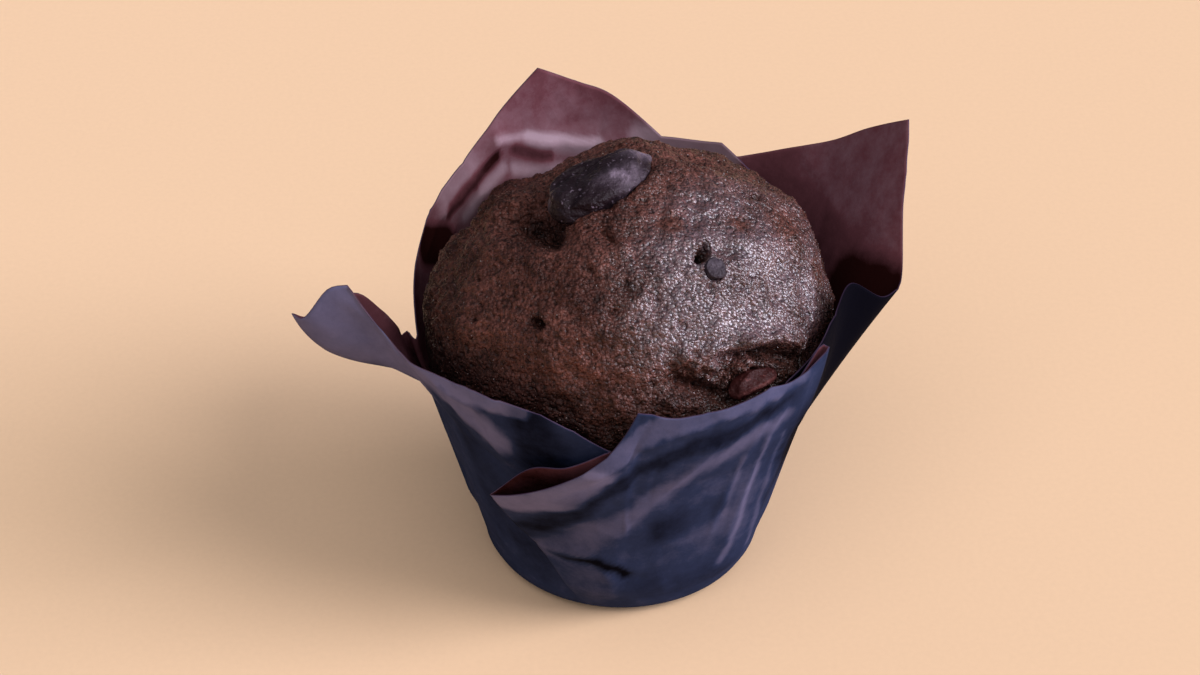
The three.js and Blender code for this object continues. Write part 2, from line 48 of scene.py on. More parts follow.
MM = 0.001  # metres
BASE_RADIUS = 24  # of the cone of the wall, taken down to the base
WALL_FLARE = 0.25  # growth of the radius for each millimetre of height
FLOOR_CORNER = 5  # radius of the corner between floor and wall
PAPER = 0.22  # thickness of the sheet
SHEET_LEVEL = PAPER / 2  # of the middle of the sheet under the cake
PLY_STEP = 0.85  # from ply to ply on the wall
EDGE_STEP = 1.4  # and at the free edge
FOLD_TURN = 1.6  # degrees that the sheet stands back beside a fold line
FOLD_PITCH = 2  # degrees between the ribs of a fold, at the base
PLEAT_START = 4  # height where the ribs begin to turn
PLEAT_FULL = 10  # height where the plies stand fully apart
BEND = 2 / 3  # of the way to a rib's belly lie the two bends of its curve
EDGE_PITCH = 1.4  # widest spacing of the mesh's columns at the free edge
WAIST_PITCH = 0.6  # and at the waist of the cup
FLOOR_RINGS = 2
CORNER_ROWS = 5
WALL_ROWS = 30
PETAL_ROWS = 50


def lerp(start, end, share):
    return start + (end - start) * share


def smoothstep(low, high, value):
    share = np.clip((value - low) / (high - low), 0, 1)
    return share * share * (3 - 2 * share)


# A rib climbs from the base to the free edge: its azimuth at the base, azimuth and height of its
# waist, plies under it, radius and height of its belly, and azimuth, radius and height of its edge.
# A lip stands for its high bend. At a corner the edge turns sharply, and at a crease the sheet too.
rib = namedtuple(
    "rib", "foot waist ply belly edge lip corner crease", defaults=(None, False, False))


# Three ribs that turn the sheet back over itself: before, on and behind the fold line.
def fold(foot, waist, belly, edge, plies, turn):
    ribs = []
    for place in range(3):
        ply = lerp(plies[0], plies[1], place / 2)
        back = 0 if place == 1 else turn * FOLD_TURN
        ribs.append(rib(
            foot + (place - 1) * FOLD_PITCH,
            (waist[0] - back, waist[1]),
            ply,
            (belly[0] + ply * PLY_STEP, belly[1]),
            (edge[0] - back, edge[1] + ply * EDGE_STEP, edge[2]),
        ))
    return ribs


RIBS = [
    # right petal
    rib(-8, (-3, 24), 1, (39.3, 41.3), (1.5, 48, 53.8), crease=True),
    rib(-3, (4, 27), 1, (40, 42), (5, 49, 55.5)),
    rib(4, (12, 31), 1.1, (40, 48), (12, 49.9, 66.2)),
    rib(13, (22, 34), 1, (40.5, 52), (21, 53.3, 77.2), corner=True),
    rib(22, (31, 35), 1.2, (40.5, 52), (31, 51, 70.6)),
    rib(30, (39, 35), 1.4, (40.5, 50), (40, 48.8, 64.4)),
    rib(39, (50, 35), 1.9, (40, 48), (51, 44.5, 60.2)),
    # pleat behind
    *fold(47, (59, 36), (38.2, 48), (60.2, 38.8, 58.2), (2, 1), 1),
    *fold(53, (46, 36), (38.2, 48), (46, 38.8, 56), (1, 0), -1),
    # back petal
    rib(66, (61, 38), 0, (38, 50), (62.1, 38.8, 62), corner=True),
    rib(72, (69, 38), 0, (38, 50), (69, 38.8, 61.2)),
    rib(80, (79, 38), 0, (38, 50), (79, 38.6, 61), corner=True),
    rib(90, (91, 38), 0, (38, 52), (92.6, 38.7, 69.6)),
    rib(100, (102, 38), 0, (38, 56), (102.3, 38.6, 73.1)),
    rib(110, (112, 38), 0, (38, 58), (113, 38.4, 77.4), corner=True),
    rib(120, (122, 38), 0, (38, 56), (124.2, 38.4, 71)),
    rib(130, (134, 37), 0, (38, 52), (137.2, 38.4, 64.1)),
    rib(140, (147, 36), 0, (37.8, 48), (150.8, 38.1, 59.8)),
    rib(150, (159, 36), 0, (37.8, 46), (162, 37.6, 55.5)),
    rib(158, (170, 34), 0, (36.5, 44), (173, 36.8, 51.4)),
    # left pleat
    *fold(168, (184, 33), (35.8, 41), (185.4, 35.9, 46.6), (0, 1), 1),
    *fold(174, (176, 33), (35.9, 40), (177.5, 35.9, 44), (1, 2), -1),
    # left petal
    rib(181, (184, 34), 1.8, (38, 42), (187.5, 39.3, 50.4)),
    rib(184, (187, 35), 1, (38.8, 44), (190, 42, 55.8)),
    rib(187, (190, 37), 0.4, (41, 46), (192, 46.8, 61.2)),
    rib(190, (193, 41), 0.1, (44.5, 47), (192.9, 54.4, 58.2)),
    rib(193, (196, 41), 0, (37, 48.6), (195, 57.6, 60.8), lip=(52.3, 44.8), crease=True),
    rib(195, (198.5, 42), 0, (43.5, 48.5), (196.8, 55.8, 60.9)),
    rib(198, (201, 42), 0, (42, 49.5), (197.8, 51.9, 66.4)),
    rib(201, (204, 42), 0, (40.5, 50), (199, 48.6, 67.3), corner=True),
    rib(205, (207, 40), 0, (38.8, 48), (201, 45, 60.4)),
    rib(209, (211, 40), 0, (37.8, 47), (204.5, 40.8, 53.8)),
    # left panel
    rib(216, (218, 38), 0, (37.6, 47), (217.5, 38.8, 54.6)),
    rib(225, (229, 38), 0, (37.6, 47), (229.5, 38.6, 56)),
    rib(233, (240, 38), 0, (37.6, 47), (241, 38.5, 56.4)),
    rib(239, (248, 38), 0, (37.6, 47), (249.2, 38.4, 56), corner=True),
    rib(243, (256, 38), 0, (37.2, 46), (256.5, 38.2, 53.8)),
    # front fold
    *fold(248, (266.5, 35), (36.8, 43), (266.8, 37.6, 50), (0, 1), 1),
    # front petal
    rib(251, (255, 32), 1, (37.2, 40), (256, 38.8, 46)),
    rib(252, (245, 26), 1.2, (36.2, 36), (246, 38.6, 43.6)),
    rib(253.5, (241, 20), 1.8, (36.4, 28), (235.6, 39.6, 35.9), crease=True),
    rib(256, (248, 24), 2.2, (37.8, 33), (243.3, 40.6, 39)),
    rib(259, (256, 28), 2.4, (38.8, 37), (251.7, 41, 42.7)),
    rib(262, (263, 32), 2.4, (39.4, 41), (259, 41, 46.6)),
    rib(265, (268, 35), 2.3, (39.8, 45), (266, 40.8, 51), corner=True),
    rib(267, (270.5, 36), 2.1, (39.6, 46), (270.2, 40.2, 55.2)),
    # front panel
    rib(270, (273, 38), 1.8, (39.2, 48), (273.2, 39.9, 59.6), corner=True),
    rib(273, (276, 38), 1.6, (39, 48), (275.9, 39.7, 59.1), corner=True),
    rib(280, (282, 38), 1.2, (38.6, 48), (282, 39.4, 57.6)),
    rib(289, (291, 38), 0.9, (38.4, 48), (291.2, 39.4, 57.5)),
    rib(298, (300, 38), 0.9, (38.4, 48), (299.6, 39.4, 57.8)),
    rib(305, (307, 38), 1.4, (38.6, 48), (307.1, 39.4, 58.5), corner=True),
    rib(312, (315, 38), 1.9, (39, 48), (314.4, 39.4, 57.3)),
    # right pleat
    *fold(321, (325.5, 38), (37.9, 48), (326.8, 38.2, 59.4), (2, 1), 1),
    *fold(327, (313, 38), (37.8, 47), (314, 38.2, 55.8), (1, 0), -1),
    # near wall of the right petal
    rib(335, (328, 37), 0, (37.8, 47), (329, 38.3, 57.6)),
    rib(340, (338, 35), 0, (37.8, 46), (340, 38.3, 60.4)),
    rib(345, (346, 32), 0.4, (37.8, 45), (349, 39.6, 61.6)),
    rib(349, (352.5, 28), 0.8, (38.6, 42.7), (356.6, 44.8, 55)),
]


def cone_radius(height):
    return BASE_RADIUS + WALL_FLARE * height


def from_cylinder(azimuth, radius, height):
    turn = np.radians(azimuth)
    return np.stack([radius * np.cos(turn), radius * np.sin(turn), height + 0 * turn], -1)


# A rib as one row of numbers: foot, azimuth and height of the waist, ply, then radius and height
# of the low and the high bend of its curve, and azimuth, radius and height of the free edge.
def rib_values(item, reference):
    turn = 360 * round((reference - item.foot) / 360)
    azimuth, height = item.waist
    radius = cone_radius(height) + item.ply * PLY_STEP
    belly = item.belly
    edge_azimuth, edge_radius, edge_height = item.edge
    low = belly if item.lip else (lerp(radius, belly[0], BEND), lerp(height, belly[1], BEND))
    high = item.lip or (
        lerp(edge_radius, belly[0], BEND), lerp(edge_height, belly[1], BEND))
    return np.array([
        item.foot + turn, azimuth + turn, height, item.ply, *low, *high,
        edge_azimuth + turn, edge_radius, edge_height,
    ])


# For each of a rib's eleven numbers. The last three are the free edge's, with its own corners.
def turns_sharply(item):
    return np.where(np.arange(11) >= 8, item.corner or item.crease, item.crease)


def spline(before, start, end, after, share):
    square, cube = share ** 2, share ** 3
    return (
        (2 * cube - 3 * square + 1) * start
        + (cube - 2 * square + share) * (end - before) / 2
        + (3 * square - 2 * cube) * end
        + (cube - square) * (after - start) / 2
    )


# The ribs and what lies between them: one row of numbers for each column of the mesh.
def sheet_columns():
    count = len(RIBS)
    columns = []
    for index, item in enumerate(RIBS):
        following = RIBS[(index + 1) % count]
        start = rib_values(item, item.foot)
        end = rib_values(following, item.foot)
        before = rib_values(RIBS[index - 1], item.foot)
        after = rib_values(RIBS[(index + 2) % count], end[0])
        before = np.where(turns_sharply(item), 2 * start - end, before)
        after = np.where(turns_sharply(following), 2 * end - start, after)
        edges = [v[8:] for v in (start, end)]
        waists = [(v[1], cone_radius(v[2]) + v[3] * PLY_STEP, v[2]) for v in (start, end)]
        steps = 2
        for (near, far), pitch in ((edges, EDGE_PITCH), (waists, WAIST_PITCH)):
            gap = np.linalg.norm(from_cylinder(*far) - from_cylinder(*near))
            steps = max(steps, math.ceil(gap / pitch))
        for step in range(steps):
            columns.append(spline(before, start, end, after, step / steps))
    return np.array(columns)


# The sheet's middle surface: one column of points for each column of numbers.
def sheet_grid(columns):
    foot, waist_azimuth, waist_height, ply = columns[:, :4].T
    corner_centre = cone_radius(FLOOR_CORNER) - FLOOR_CORNER
    rows = []
    for ring in range(1, FLOOR_RINGS + 1):
        radius = corner_centre * ring / (FLOOR_RINGS + 1)
        rows.append(from_cylinder(foot, radius, SHEET_LEVEL))
    for row in range(CORNER_ROWS):
        angle = math.radians(90 * row / CORNER_ROWS)
        height = SHEET_LEVEL + (FLOOR_CORNER - SHEET_LEVEL) * (1 - math.cos(angle))
        rows.append(from_cylinder(foot, corner_centre + FLOOR_CORNER * math.sin(angle), height))
    for row in range(WALL_ROWS):
        height = lerp(FLOOR_CORNER, waist_height, row / WALL_ROWS)
        turned = (height - PLEAT_START) / (waist_height - PLEAT_START)
        opened = smoothstep(FLOOR_CORNER / 2, PLEAT_FULL, height)
        radius = cone_radius(height) + ply * PLY_STEP * opened
        rows.append(from_cylinder(lerp(foot, waist_azimuth, turned), radius, height))
    waist_radius = cone_radius(waist_height) + ply * PLY_STEP
    low, high, edge = columns[:, 4:6].T, columns[:, 6:8].T, columns[:, 8:].T
    for row in range(PETAL_ROWS + 1):
        share = row / PETAL_ROWS
        rest = 1 - share
        shares = rest ** 3, 3 * rest ** 2 * share, 3 * rest * share ** 2, share ** 3
        radius = np.dot(shares, [waist_radius, low[0], high[0], edge[1]])
        height = np.dot(shares, [waist_height, low[1], high[1], edge[2]])
        rows.append(from_cylinder(lerp(waist_azimuth, edge[0], share), radius, height))
    return np.stack(rows, 1)


def sheet_normals(grid):
    around = np.roll(grid, -1, 0) - np.roll(grid, 1, 0)
    upward = np.gradient(grid, axis=1)
    across = np.cross(around, upward)
    return across / np.linalg.norm(across, axis=-1, keepdims=True)


# Where each point lies on the flat sheet, before it is pressed: its distance from the middle
# is its way up the column, and its direction is the azimuth of the column's foot.
def flat_places(columns, grid):
    steps = np.linalg.norm(np.diff(grid, axis=1), axis=-1)
    first = np.hypot(*grid[:, 0, :2].T)
    reach = np.concatenate([first[:, None], first[:, None] + np.cumsum(steps, 1)], 1)
    turn = np.radians(columns[:, 0])[:, None]
    return np.stack([reach * np.cos(turn), reach * np.sin(turn)], -1)


def distance_to_line(places, start, end):
    start, end = np.array(start, float), np.array(end, float)
    path = end - start
    along = np.clip(((places - start) @ path) / (path @ path), 0, 1)
    return np.linalg.norm(places - start - along[..., None] * path, axis=-1), along


def distance_to_path(places, corners):
    return np.minimum.reduce([
        distance_to_line(places, a, b)[0] for a, b in zip(corners, corners[1:])])


# Folds that the sheet keeps, as lines on the flat sheet: depth (over zero stands out, under zero
# towards the cake), half width, and the corners of the line.
FOLDS = [
    (0.9, 2.6, [(-8, -72), (1, -77), (16, -77.5), (32, -74), (46, -67), (57, -58)]),  # front lip
    (0.5, 2.2, [(44, -68), (31, -70), (18, -65), (2, -57), (-7, -49), (-10, -42)]),
    (-0.5, 0.9, [(-10.5, -40.5), (-7.7, -41.6), (-3, -39.5), (4, -36)]),
    (0.35, 1.3, [(-10.9, -43.5), (-7.6, -44.5), (-2.8, -42.3), (1.5, -39.2)]),
    (-0.35, 0.8, [(-15, -50), (-13.4, -53.6), (-12, -56)]),
    (0.35, 1.6, [(58, -57.7), (50, -50), (44, -42), (38, -36)]),
    (0.4, 1.8, [(53, -59), (44, -56), (36.5, -48), (29, -39.5), (24, -33)]),
    (-0.3, 1.4, [(55, -58), (47, -53), (40, -45), (33, -37)]),
    (0.3, 1.5, [(48, -64), (38, -58), (28, -49), (22, -40)]),
    (0.6, 2.2, [(-68, -40), (-59, -49), (-53, -56), (-51, -63)]),  # left lip
    (0.5, 2, [(-62, -45), (-57.6, -46.5), (-51.6, -49), (-47, -50.6), (-42, -50)]),
    (-0.35, 1.6, [(-55, -40), (-49, -42), (-43, -44), (-36, -43)]),
    (-1, 2.6, [(-48, 75.5), (-35, 80), (-20, 83), (-5, 84), (3, 83.5)]),  # back petal
    (-0.9, 2, [(-48, 75.5), (-51.6, 68.7), (-56, 60), (-61, 54)]),
    (-0.7, 2, [(-50, 63), (-43.4, 68.6), (-33.4, 73.2), (-26, 77)]),
    (-0.4, 1.4, [(-62, 53.5), (-63, 48.6), (-65, 42)]),
    (-0.5, 1.3, [(-55, 53.6), (-57.3, 49.3), (-59.2, 45.7)]),
    (-0.4, 2.4, [(88, 12), (80, 24), (76, 40), (72, 52)]),  # right petal
    (0.3, 2, [(98, 24), (84, 30), (70, 36)]),
    (0.3, 1.6, [(-88, -30), (-80, -31), (-72, -34)]),  # left petal
]


def folded(places):
    return sum(
        depth * np.exp(-distance_to_path(places, line) / width) for depth, width, line in FOLDS)


# Sharp wrinkles left by the die and by handling, as ridges and grooves with a crisp line.
WRINKLES = 240
WRINKLE_REACH = (26, 104)  # from the middle of the flat sheet
WRINKLE_LENGTH = (7, 30)
WRINKLE_DEPTH = (0.08, 0.36)
WRINKLE_WIDTH = (0.7, 2)
WRINKLE_STRAY = 0.7  # radians off the way outward
WRINKLE_ENDS = 0.08  # of half a sine wave, that its ends stop short
wrinkle_draw = np.random.default_rng(11)


def wrinkled(places):
    relief = np.zeros(places.shape[:2])
    for _ in range(WRINKLES):
        reach = wrinkle_draw.uniform(*WRINKLE_REACH)
        turn = wrinkle_draw.uniform(0, 2 * math.pi)
        heading = turn + wrinkle_draw.normal(0, WRINKLE_STRAY)
        length = wrinkle_draw.uniform(*WRINKLE_LENGTH)
        depth = wrinkle_draw.choice([-1, 1]) * wrinkle_draw.uniform(*WRINKLE_DEPTH)
        width = wrinkle_draw.uniform(*WRINKLE_WIDTH)
        start = np.array([reach * math.cos(turn), reach * math.sin(turn)])
        end = start + length * np.array([math.cos(heading), math.sin(heading)])
        distance, along = distance_to_line(places, start, end)
        wave = np.sin(math.pi * (WRINKLE_ENDS + (1 - 2 * WRINKLE_ENDS) * along))
        relief += depth * np.exp(-distance / width) * wave
    return relief


# Plies that lie on each other in a pleat leave little room for relief: azimuth at the base, and
# the least and the most that the sheet may stand out there. The middle ply lies face about.
PLY_ROOM = [
    (0, -2, 2), (29, -2, 2), (34, 0, 2), (45, 0, 0.3), (48, 0.1, 0.2), (52, 0.1, 0.2),
    (55, -0.3, 0), (66, -2, 0), (71, -2, 2), (154, -2, 2), (159, -2, 0), (166, -0.3, 0),
    (169, 0.1, 0.2), (173, 0.1, 0.2), (176, 0, 0.3), (184, 0, 2), (189, -2, 2),
    (226, -2, 2), (231, -2, 0), (246, -0.3, 0), (249, 0.1, 0.2), (252, 0.1, 0.2),
    (254, 0, 0.3), (257, 0, 2), (262, -0.4, 2), (268, -2, 2), (300, -2, 2), (305, 0, 2),
    (319, 0, 0.5), (322, 0.1, 0.2), (326, 0.1, 0.2), (329, -0.3, 0), (338, -2, 0),
    (343, -2, 2), (360, -2, 2),
]

columns = sheet_columns()
grid = sheet_grid(columns)
places = flat_places(columns, grid)
RELIEF_START, RELIEF_FULL = 25, 30  # from the middle of the flat sheet
free = smoothstep(RELIEF_START, RELIEF_FULL, np.linalg.norm(places, axis=-1))
relief = (folded(places) + wrinkled(places)) * free
room_foot, room_least, room_most = np.array(PLY_ROOM).T
foot = columns[:, 0] % 360
least = np.interp(foot, room_foot, room_least)[:, None] * free
most = np.interp(foot, room_foot, room_most)[:, None]
relief = np.clip(relief, least, most)
grid = grid + relief[..., None] * sheet_normals(grid)


# Painted light and shade on the sheet, first on its printed face and then on its dyed inner face:
# paler (over zero) where a lip, ridge or face is lit, darker (under zero) where shade falls under a
# lip, in creases and on faces turned from the lamps. How much, half width, softness of its border,
# and a line on the flat sheet.
PRINT_LIGHT_AND_SHADE = [
    # Painted highlight on the lit front lip.
    (0.4, 2.6, 0.6, [(-8, -75), (1, -80), (16, -80.5), (32, -77), (46, -70), (58, -61)]),  # front lip
    (0.9, 3, 1.2, [(-17, -61), (-13, -63), (-8, -71)]),
    # Painted shade in a crease of the front petal.
    (-0.8, 1, 0.9, [(-10.4, -41.4), (-7.3, -42.7), (-3, -40.6), (0, -38.2)]),
    # Painted shade under the front lip.
    (-0.45, 2.2, 1.4, [
        (-13.5, -52), (-9, -64), (0, -71), (21, -72.5), (42.5, -64.5), (52, -57.5)]),
    (0.5, 2.4, 2, [(-12, -42), (-7.5, -52), (5, -60), (21, -64.5), (39, -61), (50, -56)]),
    (-0.4, 4, 3, [(9, -50), (27, -47)]),
    (0.15, 4, 3, [(-10, -40), (-5, -31)]),
    (-0.2, 4, 3, [(3, -34), (20, -25)]),
    (0.3, 8, 6, [(24, -46), (36, -38)]),
    (0.45, 0.9, 0.8, [(43, -55), (29, -35), (21, -28)]),
    (0.4, 0.8, 0.7, [(47, -50), (35, -34), (28, -24)]),
    (0.3, 0.8, 0.7, [(36, -57), (27, -42)]),
    (0.85, 2.2, 0.7, [(-68, -43), (-60, -53.5), (-50.7, -62.6), (-46, -66.5)]),  # left panel
    (0.8, 3.4, 2, [(-66, -42), (-53, -52), (-46, -53)]),
    (-0.5, 6, 3, [(-43, -66), (-36, -58)]),
    (-0.3, 5, 4, [(-13, -46), (-20, -30)]),
    (-0.25, 6, 4, [(-50, -38), (-30, -30)]),
    (0.8, 12, 4, [(-96, -25), (-73, -30)]),  # left petal
    # Painted shade on the near wall of the right petal, which faces away from the lamps.
    (-1.2, 17, 14, [(88, -12), (66, -24), (56, -28)]),  # right petal
]
# Painted light and shade on the dyed inner face: lit fold ridges and lit tops of the back and right
# petals paler; creases, the front petal's pocket and the right petal by the cake darker.
DYE_LIGHT_AND_SHADE = [
    (0.15, 14, 7, [(-66, 50), (-54, 66), (-30, 76), (0, 80)]),  # back petal
    (0.1, 14, 6, [(80, 40), (98, 22), (96, 6)]),  # right petal
    (0.6, 1.5, 1.2, [(-36, 80.5), (-22.5, 82.5), (-5, 83.5)]),  # back petal
    (0.5, 0.7, 0.6, [(-48.5, 76), (-36, 81.3), (-22.5, 84), (-5, 85)]),
    (-0.8, 1.4, 0.8, [(-47, 73), (-54, 63.5), (-59, 55)]),
    (0.6, 1.2, 1, [(-43.5, 71.5), (-49.4, 64), (-52.5, 57)]),
    (0.6, 1.3, 1.1, [(-40, 72.5), (-21, 77.5)]),
    (-0.5, 1.2, 1, [(-41, 76.5), (-26, 79.5)]),
    (-1.4, 4, 2.5, [(-66, 43), (-58, 48)]),
    (-0.25, 4, 3, [(65, 52), (72, 34), (77, 12), (78, -3)]),  # right petal
    (-0.6, 8, 4, [(-16, -62), (-6, -74)]),  # front petal
    (-0.8, 9, 4, [(62, 2), (72, 4), (82, -20)]),  # right petal
    (0.7, 2.6, 1.8, [(8, 85), (24, 82), (38, 76)]),  # behind
    (0.35, 4.5, 3, [(-56, 67), (-60, 58)]),  # back petal
    (0.02, 7, 5, [(-40, 88), (-10, 88)]),
]
NOISE_STRIDE = (7.3, 3.1, 5.7)  # from seed to seed, so that each reads another part of the noise


# Even noise about zero in lumps of one size, with octaves of finer ones.
def grain_noise(points, size, octaves, seed):
    offset = Vector([seed * stride for stride in NOISE_STRIDE])
    return np.array([
        noise.fractal(Vector(p) / size + offset, 1, 2, octaves, noise_basis="PERLIN_ORIGINAL")
        for p in points.reshape(-1, 3).tolist()
    ]).reshape(points.shape[:-1])


# The borders of the painted light and shade on the printed face wander, drawn by noise.
WANDER = 1
WANDER_SIZE = 5
WANDER_SEEDS = (8, 9)


def wandering(places):
    around = np.concatenate([places, np.zeros((*places.shape[:-1], 1))], -1)
    steps = [grain_noise(around, WANDER_SIZE, 4, seed) for seed in WANDER_SEEDS]
    return places + WANDER * np.stack(steps, -1)


def shades(places, lines):
    return sum(
        share * (1 - smoothstep(width - softness, width + softness, distance_to_path(places, line)))
        for share, width, softness, line in lines)


def in_scene(name, data):
    item = bpy.data.objects.new(name, data)
    bpy.context.scene.collection.objects.link(item)
    return item


def mesh_object(name, points, faces, materials):
    mesh = bpy.data.meshes.new(name)
    mesh.from_pydata((np.asarray(points) * MM).tolist(), [], faces, shade_flat=False)
    mesh.update()
    for material in materials:
        mesh.materials.append(material)
    return in_scene(name, mesh)


# Keeps a number for each point of a mesh, for its material to read.
def keep_numbers(piece, name, numbers):
    numbers = np.asarray(numbers, np.float32).ravel()
    piece.data.attributes.new(name, "FLOAT", "POINT").data.foreach_set("value", numbers)


# Two skins and the cut edge between them. Sides: 0 outside, 1 inside and 2 the cut edge.
def case_mesh(grid):
    count, rows = grid.shape[:2]
    normals = sheet_normals(grid)
    normals[:, :FLOOR_RINGS] = (0, 0, -1)
    skins = [grid + normals * side * PAPER / 2 for side in (1, -1)]
    centre = [(0, 0, SHEET_LEVEL - side * PAPER / 2) for side in (1, -1)]
    points = np.concatenate([skins[0].reshape(-1, 3), skins[1].reshape(-1, 3), centre])
    outer = np.arange(count * rows).reshape(count, rows)
    outer = np.concatenate([outer, outer[:1]])
    inner = outer + count * rows
    middle = np.full(count, 2 * count * rows)
    faces, sides = [], []
    for side, corners in (
        (0, (outer[:-1, :-1], outer[1:, :-1], outer[1:, 1:], outer[:-1, 1:])),
        (1, (inner[:-1, :-1], inner[:-1, 1:], inner[1:, 1:], inner[1:, :-1])),
        (2, (outer[:-1, -1], outer[1:, -1], inner[1:, -1], inner[:-1, -1])),
        (0, (middle, outer[1:, 0], outer[:-1, 0])),
        (1, (middle + 1, inner[:-1, 0], inner[1:, 0])),
    ):
        part = np.stack(corners, -1).reshape(-1, len(corners)).tolist()
        faces += part
        sides += [side] * len(part)
    return points, faces, sides


# An sRGB colour, written as hex, turned linear.
def linear(text):
    parts = [int(text[i:i + 2], 16) / 255 for i in (1, 3, 5)]
    return [p / 12.92 if p <= 0.04045 else ((p + 0.055) / 1.055) ** 2.4 for p in parts] + [1]


# Adds a node with its settings and its inputs, given by name or, as i0, i1 and so on, by place.
# A value is a number, a colour, a node's output, or a node, which stands for its first output.
def add_node(tree, family, kind, settings=None, **sockets):
    node = tree.nodes.new(family + kind)
    for key, value in (settings or {}).items():
        setattr(node, key, value)
    for key, value in sockets.items():
        socket = node.inputs[int(key[1:]) if key[1:].isdigit() else key.replace("_", " ")]
        if isinstance(value, bpy.types.Node):
            value = next(output for output in value.outputs if output.enabled)
        if isinstance(value, bpy.types.NodeSocket):
            tree.links.new(value, socket)
        else:
            socket.default_value = value
    return node


# An empty material, the function that adds nodes to it, and the place on the piece.
def new_material(name):
    material = bpy.data.materials.new(name)
    material.use_nodes = True
    material.node_tree.nodes.clear()
    add = partial(add_node, material.node_tree, "ShaderNode")
    return material, add, add("TexCoord").outputs["Object"]


# Greaseproof paper: beaten cellulose fibre, calendered to a satin face that crumples crisply. Its
# colour lies in clouds, because fibres take it unevenly, and the fibres scatter most of the gloss.
def paper_material(name, dark, middle, pale):
    material, add, place = new_material(name)
    clouds = add("TexNoise", Vector=place, Scale=220, Detail=8, Roughness=0.72)
    fibres = add("TexNoise", Vector=place, Scale=1700, Detail=3)
    facets = add("TexVoronoi", {"feature": "DISTANCE_TO_EDGE"}, Vector=place, Scale=170)
    cloud_share = add("MapRange", i0=clouds, i1=0.3, i2=0.7, i3=0.3, i4=0.48)
    # The painted light and shade of each point moves its colour down or up the ramp.
    worn = add("Attribute", {"attribute_name": "worn"}).outputs["Fac"]
    share = add("Math", {"operation": "MULTIPLY_ADD"}, i0=worn, i1=0.6, i2=cloud_share)
    colour = add("ValToRGB", Fac=share)
    ramp = colour.color_ramp.elements
    ramp.new(0.4)
    for stop, (position, shade) in zip(ramp, ((0, dark), (0.4, middle), (1, pale))):
        stop.position = position
        stop.color = linear(shade)
    crumpled = add("Bump", Strength=0.3, Distance=0.0005, Height=facets)
    bump = add("Bump", Strength=0.4, Distance=0.00006, Height=fibres, Normal=crumpled)
    shader = add(
        "BsdfPrincipled", Base_Color=colour, Roughness=0.6, IOR=1.5,
        Specular_IOR_Level=0.002, Normal=bump)
    add("OutputMaterial", Surface=shader)
    return material


# Each ramp's dark end is reached under painted shade and its pale end under painted light; its middle
# is the paper's own cloudy tone.
outside = paper_material("midnight_print_on_greaseproof", "#0a0a12", "#2a324c", "#6d6a88")
inside = paper_material("wine_dyed_greaseproof", "#28100f", "#6c4148", "#ab929c")
edge = paper_material("cut_edge_of_greaseproof", "#2c2130", "#4a3c50", "#6b525c")

points, faces, sides = case_mesh(grid)
case = mesh_object("tulip_case", points, faces, [outside, inside, edge])
case.data.polygons.foreach_set("material_index", sides)
case.data.polygons.foreach_set("use_smooth", [side < 2 for side in sides])
# printed and dyed hold the painted light and shade of the outer and the inner skin; the cut edge
# takes it from its points.
printed, dyed = shades(wandering(places), PRINT_LIGHT_AND_SHADE), shades(places, DYE_LIGHT_AND_SHADE)
worn = np.concatenate([printed.ravel(), dyed.ravel()])
keep_numbers(case, "worn", np.append(worn, (0, 0)))
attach(case, "root")
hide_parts("wrapper")

# ---- Cake ----
# Chocolate muffin batter, baked in the case: it rises above the paper and domes over, its crust
# sets while the crumb is still rising, and so it is full of small pores, cracks and swells.

CAKE_CLEARANCE = 0.35
CAKE_PAPER = 0.5  # room that the sheet takes under and round the cake
CROWN_HEIGHT = 49.5  # of the rim of the dome
CROWN_RADIUS = 35.4
DOME_HEIGHT = 29.6
DOME_SHIFT = 1.2  # towards +X
CRUST_CELLS = 280  # of the mesh, from rim to rim over the dome
BODY_WIDENS = 0.8  # of its height, where the body under the dome begins to widen to the crown
BODY_SHARES = [  # heights of the rings under the rim
    1, 0.985, 0.97, 0.95, 0.93, 0.9, 0.86, 0.8, 0.6, 0.35, 0.09, 0.05, 0.025, 0,
]
UNEVENNESS = 0.22
SETTLED = 14  # degrees above the rim where the relief is full

SWELLS = [  # azimuth, elevation, height, width in degrees
    (150, 42, -3.2, 22), (125, 62, -2.6, 18), (157, 64.5, -3, 7), (120, 35, -3.8, 11),
    (101, 43, -1.2, 10), (135, 22, 1.4, 6), (151, 18, -4, 9), (165, 32, -2.2, 7),
    (45, 57, -2.8, 16), (70, 44, -2, 9), (75, 70, 1.2, 8), (182, 52, 2.4, 9),
    (204, 62, -3.2, 8), (200, 12, 0.8, 18), (10, 38, 1.2, 16), (322, 17, 1.6, 8),
    (304, 15, -2, 7), (291, 17, -0.8, 5), (250, 25, 0.6, 18),
]
VALLEYS = [  # azimuth and elevation of both ends, height, width in degrees
    (298, 24, 316, 20, -1.7, 3.4), (316, 20, 330, 8, -1.1, 3.4),
    (284, 20, 298, 12, -1, 3), (225, 60, 195, 52, -1.4, 4),
]
PORES = [  # azimuth, elevation, heading, half sizes along, across and inward
    (238.2, 34.7, -25, 1.7, 1, 2.6), (305.6, 55.6, 75, 2.1, 1.1, 3.4), (6.5, 51.9, 60, 1, 0.8, 1.5),
]
CHUNKS = [  # name, azimuth, elevation, heading, half sizes along, across and outward, stand
    ("chunk_top", 200, 81, 38, (10.2, 5.7, 4), -0.3),
    ("chunk_rim", 307, 11.8, 38, (4.8, 2.3, 2.5), 0.3),
    ("chip_small", 306.9, 50.2, 40, (1.9, 1.8, 1.6), 0.3),
]


def direction(azimuth, elevation):
    climb = np.radians(elevation)
    return from_cylinder(azimuth, np.cos(climb), np.sin(climb))


